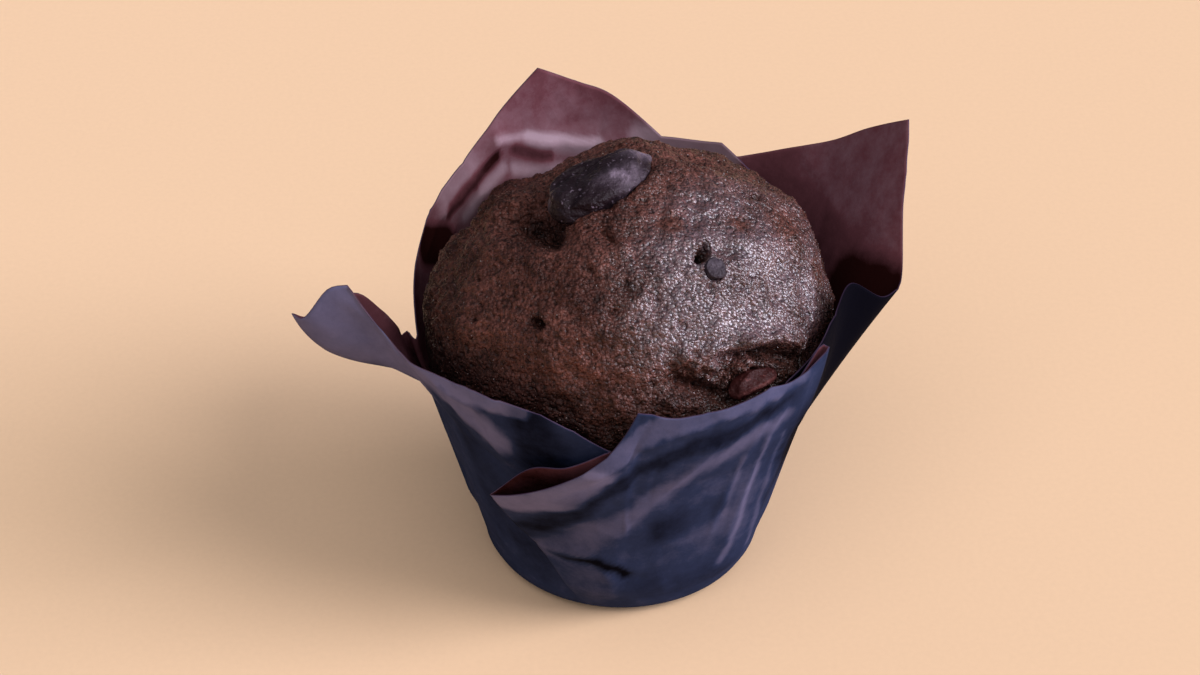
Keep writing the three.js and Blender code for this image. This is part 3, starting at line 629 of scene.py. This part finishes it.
# The turn of a lamp or camera that looks back from there.
def looking_from(azimuth, elevation):
    return Vector(direction(azimuth, elevation)).to_track_quat("Z", "Y").to_euler()


def elevation_of(heading):
    return np.degrees(np.arcsin(np.clip(heading[..., 2], -1, 1)))


def angle_to_path(heading, start, end):
    path = end - start
    along = np.clip((heading - start) @ path / (path @ path), 0, 1)
    nearest = start + along[..., None] * path
    nearest /= np.linalg.norm(nearest, axis=-1, keepdims=True)
    return np.degrees(np.arccos(np.clip((heading * nearest).sum(-1), -1, 1)))


def bell(distance, width):
    return np.exp(-((distance / width) ** 2))


def near_spot(heading, azimuth, elevation, width):
    cosine = heading @ direction(azimuth, elevation)
    return bell(np.degrees(np.arccos(np.clip(cosine, -1, 1))), width)


# A rise with spots and lines added to it, each with its height and width.
def shaped(rise, heading, spots, lines):
    for azimuth, elevation, height, width in spots:
        rise += height * near_spot(heading, azimuth, elevation, width)
    for start_az, start_el, end_az, end_el, height, width in lines:
        start, end = direction(start_az, start_el), direction(end_az, end_el)
        rise += height * bell(angle_to_path(heading, start, end), width)
    return rise


# Slow waves, so that no part of the crust is quite round, under the swells and valleys.
def crust_relief(heading):
    x, y, z = heading.T
    waves = np.sin(9 * x + 4 * z + 1) + np.sin(11 * y - 5 * x + 2) + np.sin(13 * z + 7 * y)
    return shaped(UNEVENNESS * waves, heading, SWELLS, VALLEYS)


def dome_points(heading, rise):
    reach = CROWN_RADIUS + rise
    x = reach * heading[..., 0] + DOME_SHIFT
    y = reach * heading[..., 1]
    z = CROWN_HEIGHT + (DOME_HEIGHT + rise) * heading[..., 2]
    return np.stack([x, y, z], -1)


def settled(heading):
    return smoothstep(0, SETTLED, elevation_of(heading))


def crust_place(azimuth, elevation):
    heading = direction(azimuth, elevation)[None]
    return dome_points(heading, crust_relief(heading) * settled(heading))[0]


# Axes of the crust at a place: along a heading seen from above, across it, and outward.
def crust_axes(azimuth, elevation, heading):
    outward = direction(azimuth, elevation)
    across = np.cross(outward, from_cylinder(heading, 1, 0))
    across /= np.linalg.norm(across)
    return np.array([np.cross(across, outward), across, outward])


# A square grid pulled into a disc and domed up, so that its cells stay alike up to the top.
def dome_headings():
    steps = np.linspace(-1, 1, CRUST_CELLS + 1)
    a, b = np.meshgrid(steps, steps, indexing="ij")
    wide = np.abs(a) > np.abs(b)
    reach = np.where(wide, a, b)
    safe = np.where(reach == 0, 1, reach)
    turn = np.where(wide, math.pi / 4 * b / safe, math.pi / 2 - math.pi / 4 * a / safe)
    turn += np.where(reach < 0, math.pi, 0)
    return direction(np.degrees(turn), 90 * (1 - np.abs(reach)))


# Small pores where bubbles have burst through the setting crust.
PORE_COUNT = 190
PORE_LOWEST = 0.03  # sine of its elevation
PORE_WIDTH = 0.22
PORE_GROWTH = 0.36  # of the widest over the narrowest
PORE_DEPTH = 1.5  # times its width
PORE_REACH = 0.002  # fall of the cosine within which it tells
pore_draw = np.random.default_rng(5)


def burst_pores(headings):
    depth = np.zeros(headings.shape[:-1])
    for _ in range(PORE_COUNT):
        height = pore_draw.uniform(PORE_LOWEST, 1)
        turn = pore_draw.uniform(0, 2 * math.pi)
        width = PORE_WIDTH + PORE_GROWTH * pore_draw.random() ** 4
        level = math.sqrt(1 - height * height)
        heading = np.array([level * math.cos(turn), level * math.sin(turn), height])
        close = headings @ heading > 1 - PORE_REACH
        gap = np.linalg.norm(headings[close] - heading, axis=-1) * CROWN_RADIUS
        depth[close] += width * PORE_DEPTH * bell(gap, width)
    return depth


# Hollows and lumps that are there to see: azimuth, elevation, height, width in degrees.
MARKS = [
    (212, 60, -3, 4.2), (200, 58, -2.4, 4), (222, 59, -1.4, 3),  # crater beside the top chunk
    (163, 76, 1.6, 3.5), (150, 71, 1.8, 3.5), (121, 73.5, 1.4, 4), (95, 68, 0.9, 4),  # and crumb
    (169, 45, 1.6, 4.5), (176, 50, 0.6, 3), (185, 57, 0.8, 3.5),
    (5.6, 52.9, -1.2, 1.6), (211, 44.2, -0.7, 0.8), (215, 46.3, -0.7, 0.8),
    (241, 52.3, -0.8, 0.8), (251, 54, -0.8, 0.9), (278, 66, -0.7, 1.1), (305, 60, 0.5, 2),
    (215, 22, 0.5, 6), (203, 25, 0.4, 5),
]
CRACKS = [  # azimuth and elevation of both ends, height, width in degrees
    (250, 67.6, 256, 65.4, -1.1, 0.8), (256, 65.4, 260.5, 63.5, -0.9, 0.7),
    (284, 20.5, 290, 16, -1.2, 1.5), (290, 16, 295, 11.5, -1.4, 1.5),
    (295, 11.5, 299, 8, -1.3, 1.5), (295, 13, 301, 19, -1.3, 1.4), (301, 19, 306, 22, -1.4, 1.4),
    (306, 22, 312, 20.5, -1.7, 1.6), (312, 20.5, 318, 15.5, -1.6, 1.8), (318, 15.5, 325, 9, -1.2, 2),
]
RIDGES = [
    (286, 27, 294, 22.5, 0.9, 2), (294, 22.5, 299, 21.5, 1, 1.8), (289, 21, 296, 16.5, 0.9, 1.5),
    (296, 27, 306, 27, 1.2, 2.4), (306, 27, 316, 23.5, 1.4, 2.4), (316, 23.5, 326, 15, 1, 2.4),
    (281, 15, 289, 10.5, 0.8, 1.8),
]

# Where the crust has torn open and shows rough crumb: azimuth, elevation, width in degrees.
TORN = [
    (172, 47, 9), (185, 58, 8), (210, 60, 7), (165, 74, 6), (150, 66, 8), (178, 30, 9), (190, 14, 9),
    (303, 16, 9), (318, 15, 7), (288, 22, 7), (98, 70, 5),
]


def near_any(headings, spots):
    return np.maximum.reduce([near_spot(headings, *spot) for spot in spots])


# Painted shade on the crumb: down by the paper, and in the crater, pores, cracks and tears, given by
# azimuth, elevation, width in degrees and share.
RIM_SHADE = 0.9
# The painted shade by the paper fades out over these degrees of elevation.
RIM_SHADE_UP_TO = (2, 28)  # degrees of elevation over which it dries
SHADE_SPOTS = [
    (212, 60, 5.5, 1), (199, 58, 5, 0.9), (222, 60, 4, 0.8), (305.6, 55.6, 2.6, 1.25),
    (238.2, 34.7, 2.2, 1), (172, 47, 9, 0.5), (185, 30, 14, 0.5), (290, 20, 4, 0.8),
    (298, 11, 5, 0.9), (312, 19, 4, 0.9), (316, 10, 6, 0.8), (150, 68, 7, 0.4),
    (323, 14, 5, 0.9),
]


def crust_painted_shade(headings):
    spot_shade = np.maximum.reduce([share * near_spot(headings, *spot) for *spot, share in SHADE_SPOTS])
    return np.maximum(spot_shade, RIM_SHADE * (1 - smoothstep(*RIM_SHADE_UP_TO, elevation_of(headings))))


# The glaze, and with it a painted highlight, is fullest on the side that faces the lamps, but for
# bare spots.
GLAZE_SIDE = direction(-38, 34)
GLAZE_TURN = (0.58, 0.95)  # cosines off that side, from none to full
GLAZE_LEAST = 0.12
SHADE_LOSS, TORN_LOSS, BARE_LOSS = 0.8, 0.7, 0.8
BARE = [(356, 42, 9), (338, 56, 4), (352, 24, 5), (300, 68, 4), (286, 17, 6)]


def crust_glaze(headings):
    facing = smoothstep(*GLAZE_TURN, headings @ GLAZE_SIDE)
    torn, bare = near_any(headings, TORN), near_any(headings, BARE)
    unshaded = np.clip(1 - SHADE_LOSS * crust_painted_shade(headings), 0, 1)
    glaze = lerp(GLAZE_LEAST, 1, facing)
    return glaze * (1 - TORN_LOSS * torn) * (1 - BARE_LOSS * bare) * unshaded


headings = dome_headings()
over_crust = headings.shape[:-1]
flat_headings = headings.reshape(-1, 3)
base_rise = (crust_relief(flat_headings) * settled(flat_headings)).reshape(over_crust)
smooth = dome_points(headings, base_rise)

# Grain of the crust, from its lumps down to its nibs: torn crumb stands up more roughly.
LUMPS = 0.7
CRUMBS, TORN_CRUMBS = 0.3, 0.9
NIBS, TORN_NIBS = 0.15, 0.5
lumps = grain_noise(smooth, 4.0, 2, 1)
crumbs = grain_noise(smooth, 1.3, 2, 2)
nibs = grain_noise(smooth, 0.65, 1, 4)
torn = near_any(flat_headings, TORN).reshape(over_crust)
rough = LUMPS * lumps + (CRUMBS + TORN_CRUMBS * torn) * crumbs
rough -= (NIBS + TORN_NIBS * torn) * np.abs(nibs)
marks = shaped(np.zeros(len(flat_headings)), flat_headings, MARKS, CRACKS + RIDGES)
rise = base_rise + rough + marks.reshape(over_crust) - burst_pores(headings)


# The pockets of open pores and of chunks, in the millimetres of the crust's own axes. A collar
# of crumb stands round a chunk.
PORE_WALLS = (0.55, 1.05)  # from bottom to edge, as shares of a pore's half sizes
PORE_RAGGED = 0.5
POCKET_WALLS = (0.8, 1.04)
POCKET_DEPTH = 0.5  # of the chunk's half height
COLLAR = 0.35
COLLAR_PLACE, COLLAR_WIDTH = 1.2, 0.14
COLLAR_END = -8  # along the chunk: it has sunk in the crater there
NEAR_PORE, NEAR_CHUNK = 6, 8  # along the outward axis, so that the far side keeps whole


# Round a place on the crust: the way along it, the share of the half sizes, and what is near.
def round_place(azimuth, elevation, heading, along, across, near):
    offset = smooth - crust_place(azimuth, elevation)
    x, y, z = np.moveaxis(offset @ crust_axes(azimuth, elevation, heading).T, -1, 0)
    return x, np.hypot(x / along, y / across), np.abs(z) < near


ragged = 1 + PORE_RAGGED * grain_noise(smooth, 1.6, 2, 3)
for *pore, inward in PORES:
    _, gap, near = round_place(*pore, NEAR_PORE)
    rise -= inward * (1 - smoothstep(*PORE_WALLS, gap * ragged)) * near
for _, *place, half, _ in CHUNKS:
    along, gap, near = round_place(*place, *half[:2], NEAR_CHUNK)
    rise -= POCKET_DEPTH * half[2] * (1 - smoothstep(*POCKET_WALLS, gap)) * near
    rise += COLLAR * bell(gap - COLLAR_PLACE, COLLAR_WIDTH) * near * (along > COLLAR_END)


# The dome, and under its rim rings that keep clear of the paper down to the floor.
def cake_mesh(crust):
    side = crust.shape[0]
    index = np.arange(side * side).reshape(side, side)
    quads = np.stack([index[:-1, :-1], index[1:, :-1], index[1:, 1:], index[:-1, 1:]], -1)
    faces = quads.reshape(-1, 4).tolist()
    rim = np.concatenate([index[-1, :-1], index[:0:-1, -1], index[0, :0:-1], index[:-1, 0]])
    points = [crust.reshape(-1, 3)]
    rim_points = crust.reshape(-1, 3)[rim]
    offset = rim_points - [DOME_SHIFT, 0, 0]
    azimuth = np.degrees(np.arctan2(offset[:, 1], offset[:, 0]))
    lumpy = rim_points[:, :2] - dome_points(direction(azimuth, 0), 0)[:, :2]
    last, start = rim, side * side
    low = CAKE_PAPER + CAKE_CLEARANCE
    inset = CAKE_PAPER / 2 + CAKE_CLEARANCE
    corner = FLOOR_CORNER - inset
    for share in BODY_SHARES[1:]:
        height = lerp(low, CROWN_HEIGHT, share)
        from_floor = min(1, (height - low) / corner)
        rounding = corner * (1 - math.sqrt(1 - (1 - from_floor) ** 2))
        snug = cone_radius(height) - inset - rounding
        crowned = float(smoothstep(BODY_WIDENS, 1, share))
        ring = from_cylinder(azimuth, min(lerp(snug, CROWN_RADIUS, crowned), CROWN_RADIUS), height)
        ring[:, 0] += DOME_SHIFT * crowned
        ring[:, :2] += lumpy * crowned
        points.append(ring)
        ring_index = start + np.arange(len(rim))
        after_last, after_ring = np.roll(last, -1), np.roll(ring_index, -1)
        faces += np.stack([ring_index, after_ring, after_last, last], -1).tolist()
        last, start = ring_index, start + len(rim)
    points.append(np.array([[0, 0, low]]))
    faces += [(start, b, a) for a, b in zip(last.tolist(), np.roll(last, -1).tolist())]
    return np.concatenate(points), faces


# Baked crumb: starch and cocoa bound by sugar. Its crust is a mat of fine grains under a thin
# glaze of sugar and egg, which glints where light grazes it. Painted shade darkens the crumb by the
# paper and in hollows, cracks and tears, where the glaze is dull too, and a painted highlight turns
# it pale lilac grey where the glaze is fullest.
def crumb_material(name, deep, light, sugar):
    material, add, place = new_material(name)
    clouds = add("TexNoise", Vector=place, Scale=150, Detail=4, Roughness=0.6)
    grit = add("TexNoise", Vector=place, Scale=1250, Detail=2)
    grains = add("TexVoronoi", Vector=place, Scale=1700)
    patch = add("MapRange", i0=clouds, i1=0.3, i2=0.7)
    tone = add("Mix", {"data_type": "RGBA"}, i0=patch, i6=linear(deep), i7=linear(light))
    # Speckled tone from the same noise as the bump: lighter on raised grains, with painted shade in
    # the low gaps between them.
    fleck_and_crevice_shade = add("MapRange", i0=grit, i1=0.36, i2=0.64, i3=0.45, i4=1.4)
    # Painted shade: the crumb is darkened by the paper and in hollows, cracks and tears.
    moist = add("Attribute", {"attribute_name": "moist"}).outputs["Fac"]
    unshaded = add("MapRange", i0=moist, i3=1, i4=0.16)
    shade = add("Math", {"operation": "MULTIPLY"}, i0=fleck_and_crevice_shade, i1=unshaded)
    colour = add("VectorMath", {"operation": "SCALE"}, i0=tone, Scale=shade)
    glaze = add("Attribute", {"attribute_name": "glaze"}).outputs["Fac"]
    glaze_share = add("MapRange", i0=clouds, i1=0.35, i2=0.6, i3=0.5, i4=1)
    glaze = add("Math", {"operation": "MULTIPLY"}, i0=glaze, i1=glaze_share)
    # Painted highlight: where the glaze is fullest, on the side that faces the lamps, the colour
    # turns towards the pale lilac grey given as sugar.
    highlight_share = add("MapRange", i0=glaze, i1=0.3, i2=0.9, i3=0, i4=0.36)
    colour = add("Mix", {"data_type": "RGBA"}, i0=highlight_share, i6=colour, i7=linear(sugar))
    rounded = add("Math", {"operation": "MULTIPLY"}, i0=grains, i1=grains)
    faces = []
    for clump_height, grain_height in ((0.0006, 0.0005), (0.0002, 0.00026)):  # crumb, glaze
        clumped = add("Bump", Strength=1, Distance=clump_height, Height=grit)
        faces.append(add(
            "Bump", {"invert": True}, Strength=1, Distance=grain_height,
            Height=rounded, Normal=clumped))
    shader = add(
        "BsdfPrincipled", Base_Color=colour, Roughness=0.55, IOR=1.5,
        Specular_IOR_Level=0.12, Normal=faces[0], Coat_Weight=glaze, Coat_Roughness=0.25,
        Coat_IOR=1.85, Coat_Normal=faces[1])
    add("OutputMaterial", Surface=shader)
    return material


crumb = crumb_material("baked_chocolate_crumb", "#3b201a", "#6a3f35", "#756a78")
points, faces = cake_mesh(dome_points(headings, rise))
cake = mesh_object("muffin_cake", points, faces, [crumb])
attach(cake, "root")
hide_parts("muffin")

# Under the rim the crumb takes full painted shade and no glaze, and nothing is strewn on it.
body_size = len(points) - rise.size
for label, on_dome, on_body in (
    ("crust", np.ones(rise.size), 0), ("moist", crust_painted_shade(flat_headings), 1),
    ("glaze", crust_glaze(flat_headings), 0),
):
    keep_numbers(cake, label, np.append(on_dome, [on_body] * body_size))

# ---- Sugar and crumbs on the crust ----
# Loose crumbs of the batter and coarse sugar that was strewn on it before baking. The oven has
# glued both to the crust, half sunk in it.


# Grains strewn over the crust, so many to the square millimetre, of chance size and turn.
def strewn_tree(name, finish, faceted, density, smallest, largest, seed):
    tree = bpy.data.node_groups.new(name, "GeometryNodeTree")
    tree.is_modifier = True
    for label, way in (("Crust", "INPUT"), ("Grains", "OUTPUT")):
        tree.interface.new_socket(label, in_out=way, socket_type="NodeSocketGeometry")
    add = partial(add_node, tree, "GeometryNode")
    add_shader = partial(add_node, tree, "ShaderNode")
    add_random = partial(add_node, tree, "FunctionNode", "RandomValue")
    crust = add_node(tree, "NodeGroup", "Input").outputs["Crust"]
    on_crust = add("InputNamedAttribute", Name="crust")
    crowding = add_shader("Math", {"operation": "MULTIPLY"}, i0=density / MM ** 2, i1=on_crust)
    spots = add("DistributePointsOnFaces", Mesh=crust, Density=crowding, Seed=seed)
    if faceted:
        grain = add("MeshCube", Size=(1.5, 1.2, 1))
    else:
        grain = add("MeshIcoSphere", Radius=1, Subdivisions=1)
    size = add_random(i2=smallest * MM, i3=largest * MM, Seed=seed)
    stretch = add_random(
        {"data_type": "FLOAT_VECTOR"}, i0=(0.6, 0.6, 0.6), i1=(1.3, 1.1, 1), Seed=seed)
    scale = add_shader("VectorMath", {"operation": "SCALE"}, i0=stretch, Scale=size)
    turn = add_random({"data_type": "FLOAT_VECTOR"}, i1=(2 * math.pi,) * 3, Seed=seed)
    placed = add("InstanceOnPoints", Points=spots, Instance=grain, Rotation=turn, Scale=scale)
    real = add("RealizeInstances", Geometry=placed)
    shaded = add("SetShadeSmooth", i0=real, i2=not faceted)
    finished = add("SetMaterial", Geometry=shaded, Material=finish)
    add_node(tree, "NodeGroup", "Output", Grains=finished)
    return tree


def strewn_piece(name, **strewing):
    carrier = in_scene(name, cake.data.copy())
    carrier.modifiers.new(name, "NODES").node_group = strewn_tree(name, **strewing)
    evaluated = carrier.evaluated_get(bpy.context.evaluated_depsgraph_get())
    mesh = bpy.data.meshes.new_from_object(evaluated)
    carrier.modifiers.clear()
    carrier.data = mesh
    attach(carrier, "root")


# Sugar crust: small clear crystals stained by cocoa, so that they glint where light catches them.
sugar, add, place = new_material("cocoa_stained_sugar")
stain = add("TexNoise", Vector=place, Scale=900, Detail=1)
colour = add("Mix", {"data_type": "RGBA"}, i0=stain, i6=linear("#38190f"), i7=linear("#6a463c"))
shader = add("BsdfPrincipled", Base_Color=colour, Roughness=0.22, IOR=1.54)
add("OutputMaterial", Surface=shader)

strewn_piece(
    "loose_crumbs", finish=crumb, faceted=False, density=0.5, smallest=0.07, largest=0.2, seed=3)
strewn_piece(
    "sugar_grains", finish=sugar, faceted=True, density=1.6, smallest=0.06, largest=0.17, seed=8)

# ---- Chocolate chunks ----
# Dark chocolate that was stirred into the batter. It has melted in the oven and set again, so
# its corners are rounded and its gloss is dulled by a thin grey bloom of cocoa butter.

CHUNK_DETAIL = 6  # times that the ball's faces are parted in four


# Chocolate that has set again: cocoa butter has bloomed on it in patches and fine specks, and
# its face is pitted where it touched the crumb. The bloom's pale colour also serves as a painted
# highlight, in the spots given for each chunk.
def chocolate_material(name, dark, bloom_and_highlight_colour):
    material, add, place = new_material(name)
    clouds = add("TexNoise", Vector=place, Scale=210, Detail=5, Roughness=0.6)
    patchy = add("MapRange", i0=clouds, i1=0.36, i2=0.62, i3=0.2, i4=1)
    bloom_and_highlight_places = add("Attribute", {"attribute_name": "bloom"}).outputs["Fac"]
    bloom = add("Math", {"operation": "MULTIPLY"}, i0=patchy, i1=bloom_and_highlight_places)
    specks = add("TexNoise", Vector=place, Scale=1300, Detail=1)
    speck_share = add("MapRange", i0=specks, i1=0.64, i2=0.76, i3=0, i4=0.5)
    bloom = add("Math", {"operation": "MAXIMUM"}, i0=bloom, i1=speck_share)
    colour = add("Mix", {"data_type": "RGBA"}, i0=bloom, i6=linear(dark), i7=linear(bloom_and_highlight_colour))
    pits = add("TexNoise", Vector=place, Scale=1200, Detail=3)
    dented = add("Bump", Strength=0.6, Distance=0.0005, Height=clouds)
    bump = add("Bump", Strength=1, Distance=0.0005, Height=pits, Normal=dented)
    shader = add(
        "BsdfPrincipled", Base_Color=colour, Roughness=0.48, IOR=1.5,
        Specular_IOR_Level=0.14, Normal=bump)
    add("OutputMaterial", Surface=shader)
    return material


CHOCOLATES = {
    "chunk_top": chocolate_material("remelted_dark_chocolate", "#180a0f", "#8d7c8c"),
    "chunk_rim": chocolate_material("crumb_stained_chocolate", "#361615", "#86524f"),
    "chip_small": chocolate_material("bloomed_chocolate", "#2a2127", "#5b525c"),
}
CHUNK_FORMS = {  # taper, flatness of the top, fall from its ridge to its sides, bulges, lumps
    "chunk_top": (0.14, 0.85, 0, 0.9, 0.2),
    "chunk_rim": (0.1, 0.9, 1.1, 0.2, 0.18),
    "chip_small": (0, 0.35, 0, 0.3, 0.2),
}
CHUNK_WAVES = 0.05
CHUNK_RIDGE = 0.1  # place of the ridge across the chunk, as a share of its half size
CHUNK_GROOVES = {  # across the chunk's own axes, as shares of its half sizes: ends, depth, width
    "chunk_top": [(-0.8, 0.4, -0.1, 0.62, 0.5, 0.1), (-0.1, 0.62, 0.9, 0.3, 0.5, 0.1),
                  (-0.75, -0.35, -0.6, -0.25, 0.8, 0.14), (-0.1, -0.5, 0.5, -0.6, 0.3, 0.25)],
}
BLOOM_LEAST = 0.02
# A row of painted highlight spots along the ridge.
RIDGE_HIGHLIGHT = [(step / 5, CHUNK_RIDGE, 0.9, 0.13) for step in range(-4, 5)]
# The spots on chunk_top and along chunk_rim's ridge are a painted highlight in the bloom's colour.
CHUNK_BLOOM_AND_HIGHLIGHT = {  # where it lies on the chunk, as shares of its half sizes: place, strength, width
    "chunk_top": [(0.95, 0.1, 0.7, 0.32), (0.22, -0.58, 1.3, 0.3), (-0.9, 0.5, 0.35, 0.25)],
    "chunk_rim": [*RIDGE_HIGHLIGHT, (0.3, -0.4, 0.45, 0.5)],
    "chip_small": [(0, 0, 1, 1)],
}


# A ball drawn out to the chunk's sizes and tapered, with its top flattened and grooved.
def chunk_body(name, unit, half):
    taper, flatness, fall, bulges, lumps = CHUNK_FORMS[name]
    x, y, z = unit.T
    waves = np.sin(5 * x + 1) * np.cos(4 * y + 2) + np.sin(6 * z + 3 * x)
    body = unit * (1 + CHUNK_WAVES * waves)[:, None] * half
    body[:, 1:] *= (1 - taper * x)[:, None]
    top = half[2] * flatness
    body[:, 2] = np.where(body[:, 2] > 0, top * np.tanh(body[:, 2] / top), body[:, 2])
    roof = top * (1 - fall * np.abs(y - CHUNK_RIDGE))
    body[:, 2] = np.minimum(body[:, 2], roof)
    body += bulges * grain_noise(body, 4.5, 1, 3)[:, None] * unit
    body += lumps * grain_noise(body, 1.5, 3, 6)[:, None] * unit
    flat = np.stack([x, y], -1)
    for *ends, depth, width in CHUNK_GROOVES.get(name, []):
        distance = distance_to_line(flat, ends[:2], ends[2:])[0]
        body[:, 2] -= depth * bell(distance, width) * (z > 0) * np.clip(3 * z, 0, 1)
    return body


def chunk_bloom_and_highlight(name, unit):
    return BLOOM_LEAST + np.maximum.reduce([
        strength * bell(np.hypot(unit[:, 0] - x, unit[:, 1] - y), width)
        for x, y, strength, width in CHUNK_BLOOM_AND_HIGHLIGHT[name]])


def chunk_piece(name, azimuth, elevation, heading, half, stand):
    ball = bmesh.new()
    bmesh.ops.create_icosphere(ball, subdivisions=CHUNK_DETAIL, radius=1)
    ball.verts.index_update()
    unit = np.array([vertex.co for vertex in ball.verts])
    faces = [[vertex.index for vertex in face.verts] for face in ball.faces]
    ball.free()
    middle = crust_place(azimuth, elevation) + stand * direction(azimuth, elevation)
    points = chunk_body(name, unit, half) @ crust_axes(azimuth, elevation, heading) + middle
    piece = mesh_object("melted_" + name, points, faces, [CHOCOLATES[name]])
    keep_numbers(piece, "bloom", chunk_bloom_and_highlight(name, unit))
    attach(piece, "root")
    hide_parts(name)


for name, *chunk in CHUNKS:
    chunk_piece(name, *chunk)

# ---- Table, light and camera ----
# A plain pale table top under soft studio light: a broad lamp high on the right, a cooler one
# low beside it, a wide one over the camera, and an even, slightly cool fill.

TABLE_HALF = 3000
TABLE_DROP = 0.02  # so that the base of the case doesn't share its plane

# Matt laminate of one plain colour, with the faint unevenness of its print.
table_material, add, place = new_material("pale_peach_table")
grain = add("TexNoise", Vector=place, Scale=900, Detail=2)
tone = add("Mix", {"data_type": "RGBA"}, i0=grain, i6=linear("#f6d1a8"), i7=linear("#fcd7ae"))
shader = add("BsdfDiffuse", Color=tone)
add("OutputMaterial", Surface=shader)
corners = [
    (x * TABLE_HALF, y * TABLE_HALF, -TABLE_DROP) for x, y in ((-1, -1), (1, -1), (1, 1), (-1, 1))]
mesh_object("table_top", corners, [(0, 1, 2, 3)], [table_material])

LAMPS = [  # name, azimuth, elevation, width of the soft box in degrees, strength, colour
    ("lamp_right", -16, 42, 30, 1.5, (1, 0.96, 1)),
    ("window_right", -4, 11, 36, 3.0, (0.96, 0.95, 1.14)),
    ("lamp_front", -100, 58, 60, 1.0, (1, 0.95, 0.98)),
]
for name, azimuth, elevation, width, strength, colour in LAMPS:
    lamp = bpy.data.lights.new(name, "SUN")
    lamp.energy = strength
    lamp.angle = math.radians(width)
    lamp.color = colour
    in_scene(name, lamp).rotation_euler = looking_from(azimuth, elevation)

world = bpy.data.worlds.new("even_fill")
world.use_nodes = True
fill = world.node_tree.nodes["Background"]
fill.inputs["Color"].default_value = (0.9, 0.93, 1.12, 1)
fill.inputs["Strength"].default_value = 0.22
scene = bpy.context.scene
scene.world = world
scene.view_settings.view_transform = "Standard"

CAMERA_AIM = Vector((-3.9, 0, 44)) * MM
CAMERA_DISTANCE = 498 * MM
CAMERA_PLACE = (-90, 38)  # azimuth and elevation
camera = bpy.data.cameras.new("camera")
camera.lens = 85
camera.sensor_width = 36
camera.clip_start = 0.01
camera_object = in_scene("camera", camera)
camera_object.location = CAMERA_AIM + Vector(direction(*CAMERA_PLACE)) * CAMERA_DISTANCE
camera_object.rotation_euler = looking_from(*CAMERA_PLACE)
scene.camera = camera_object
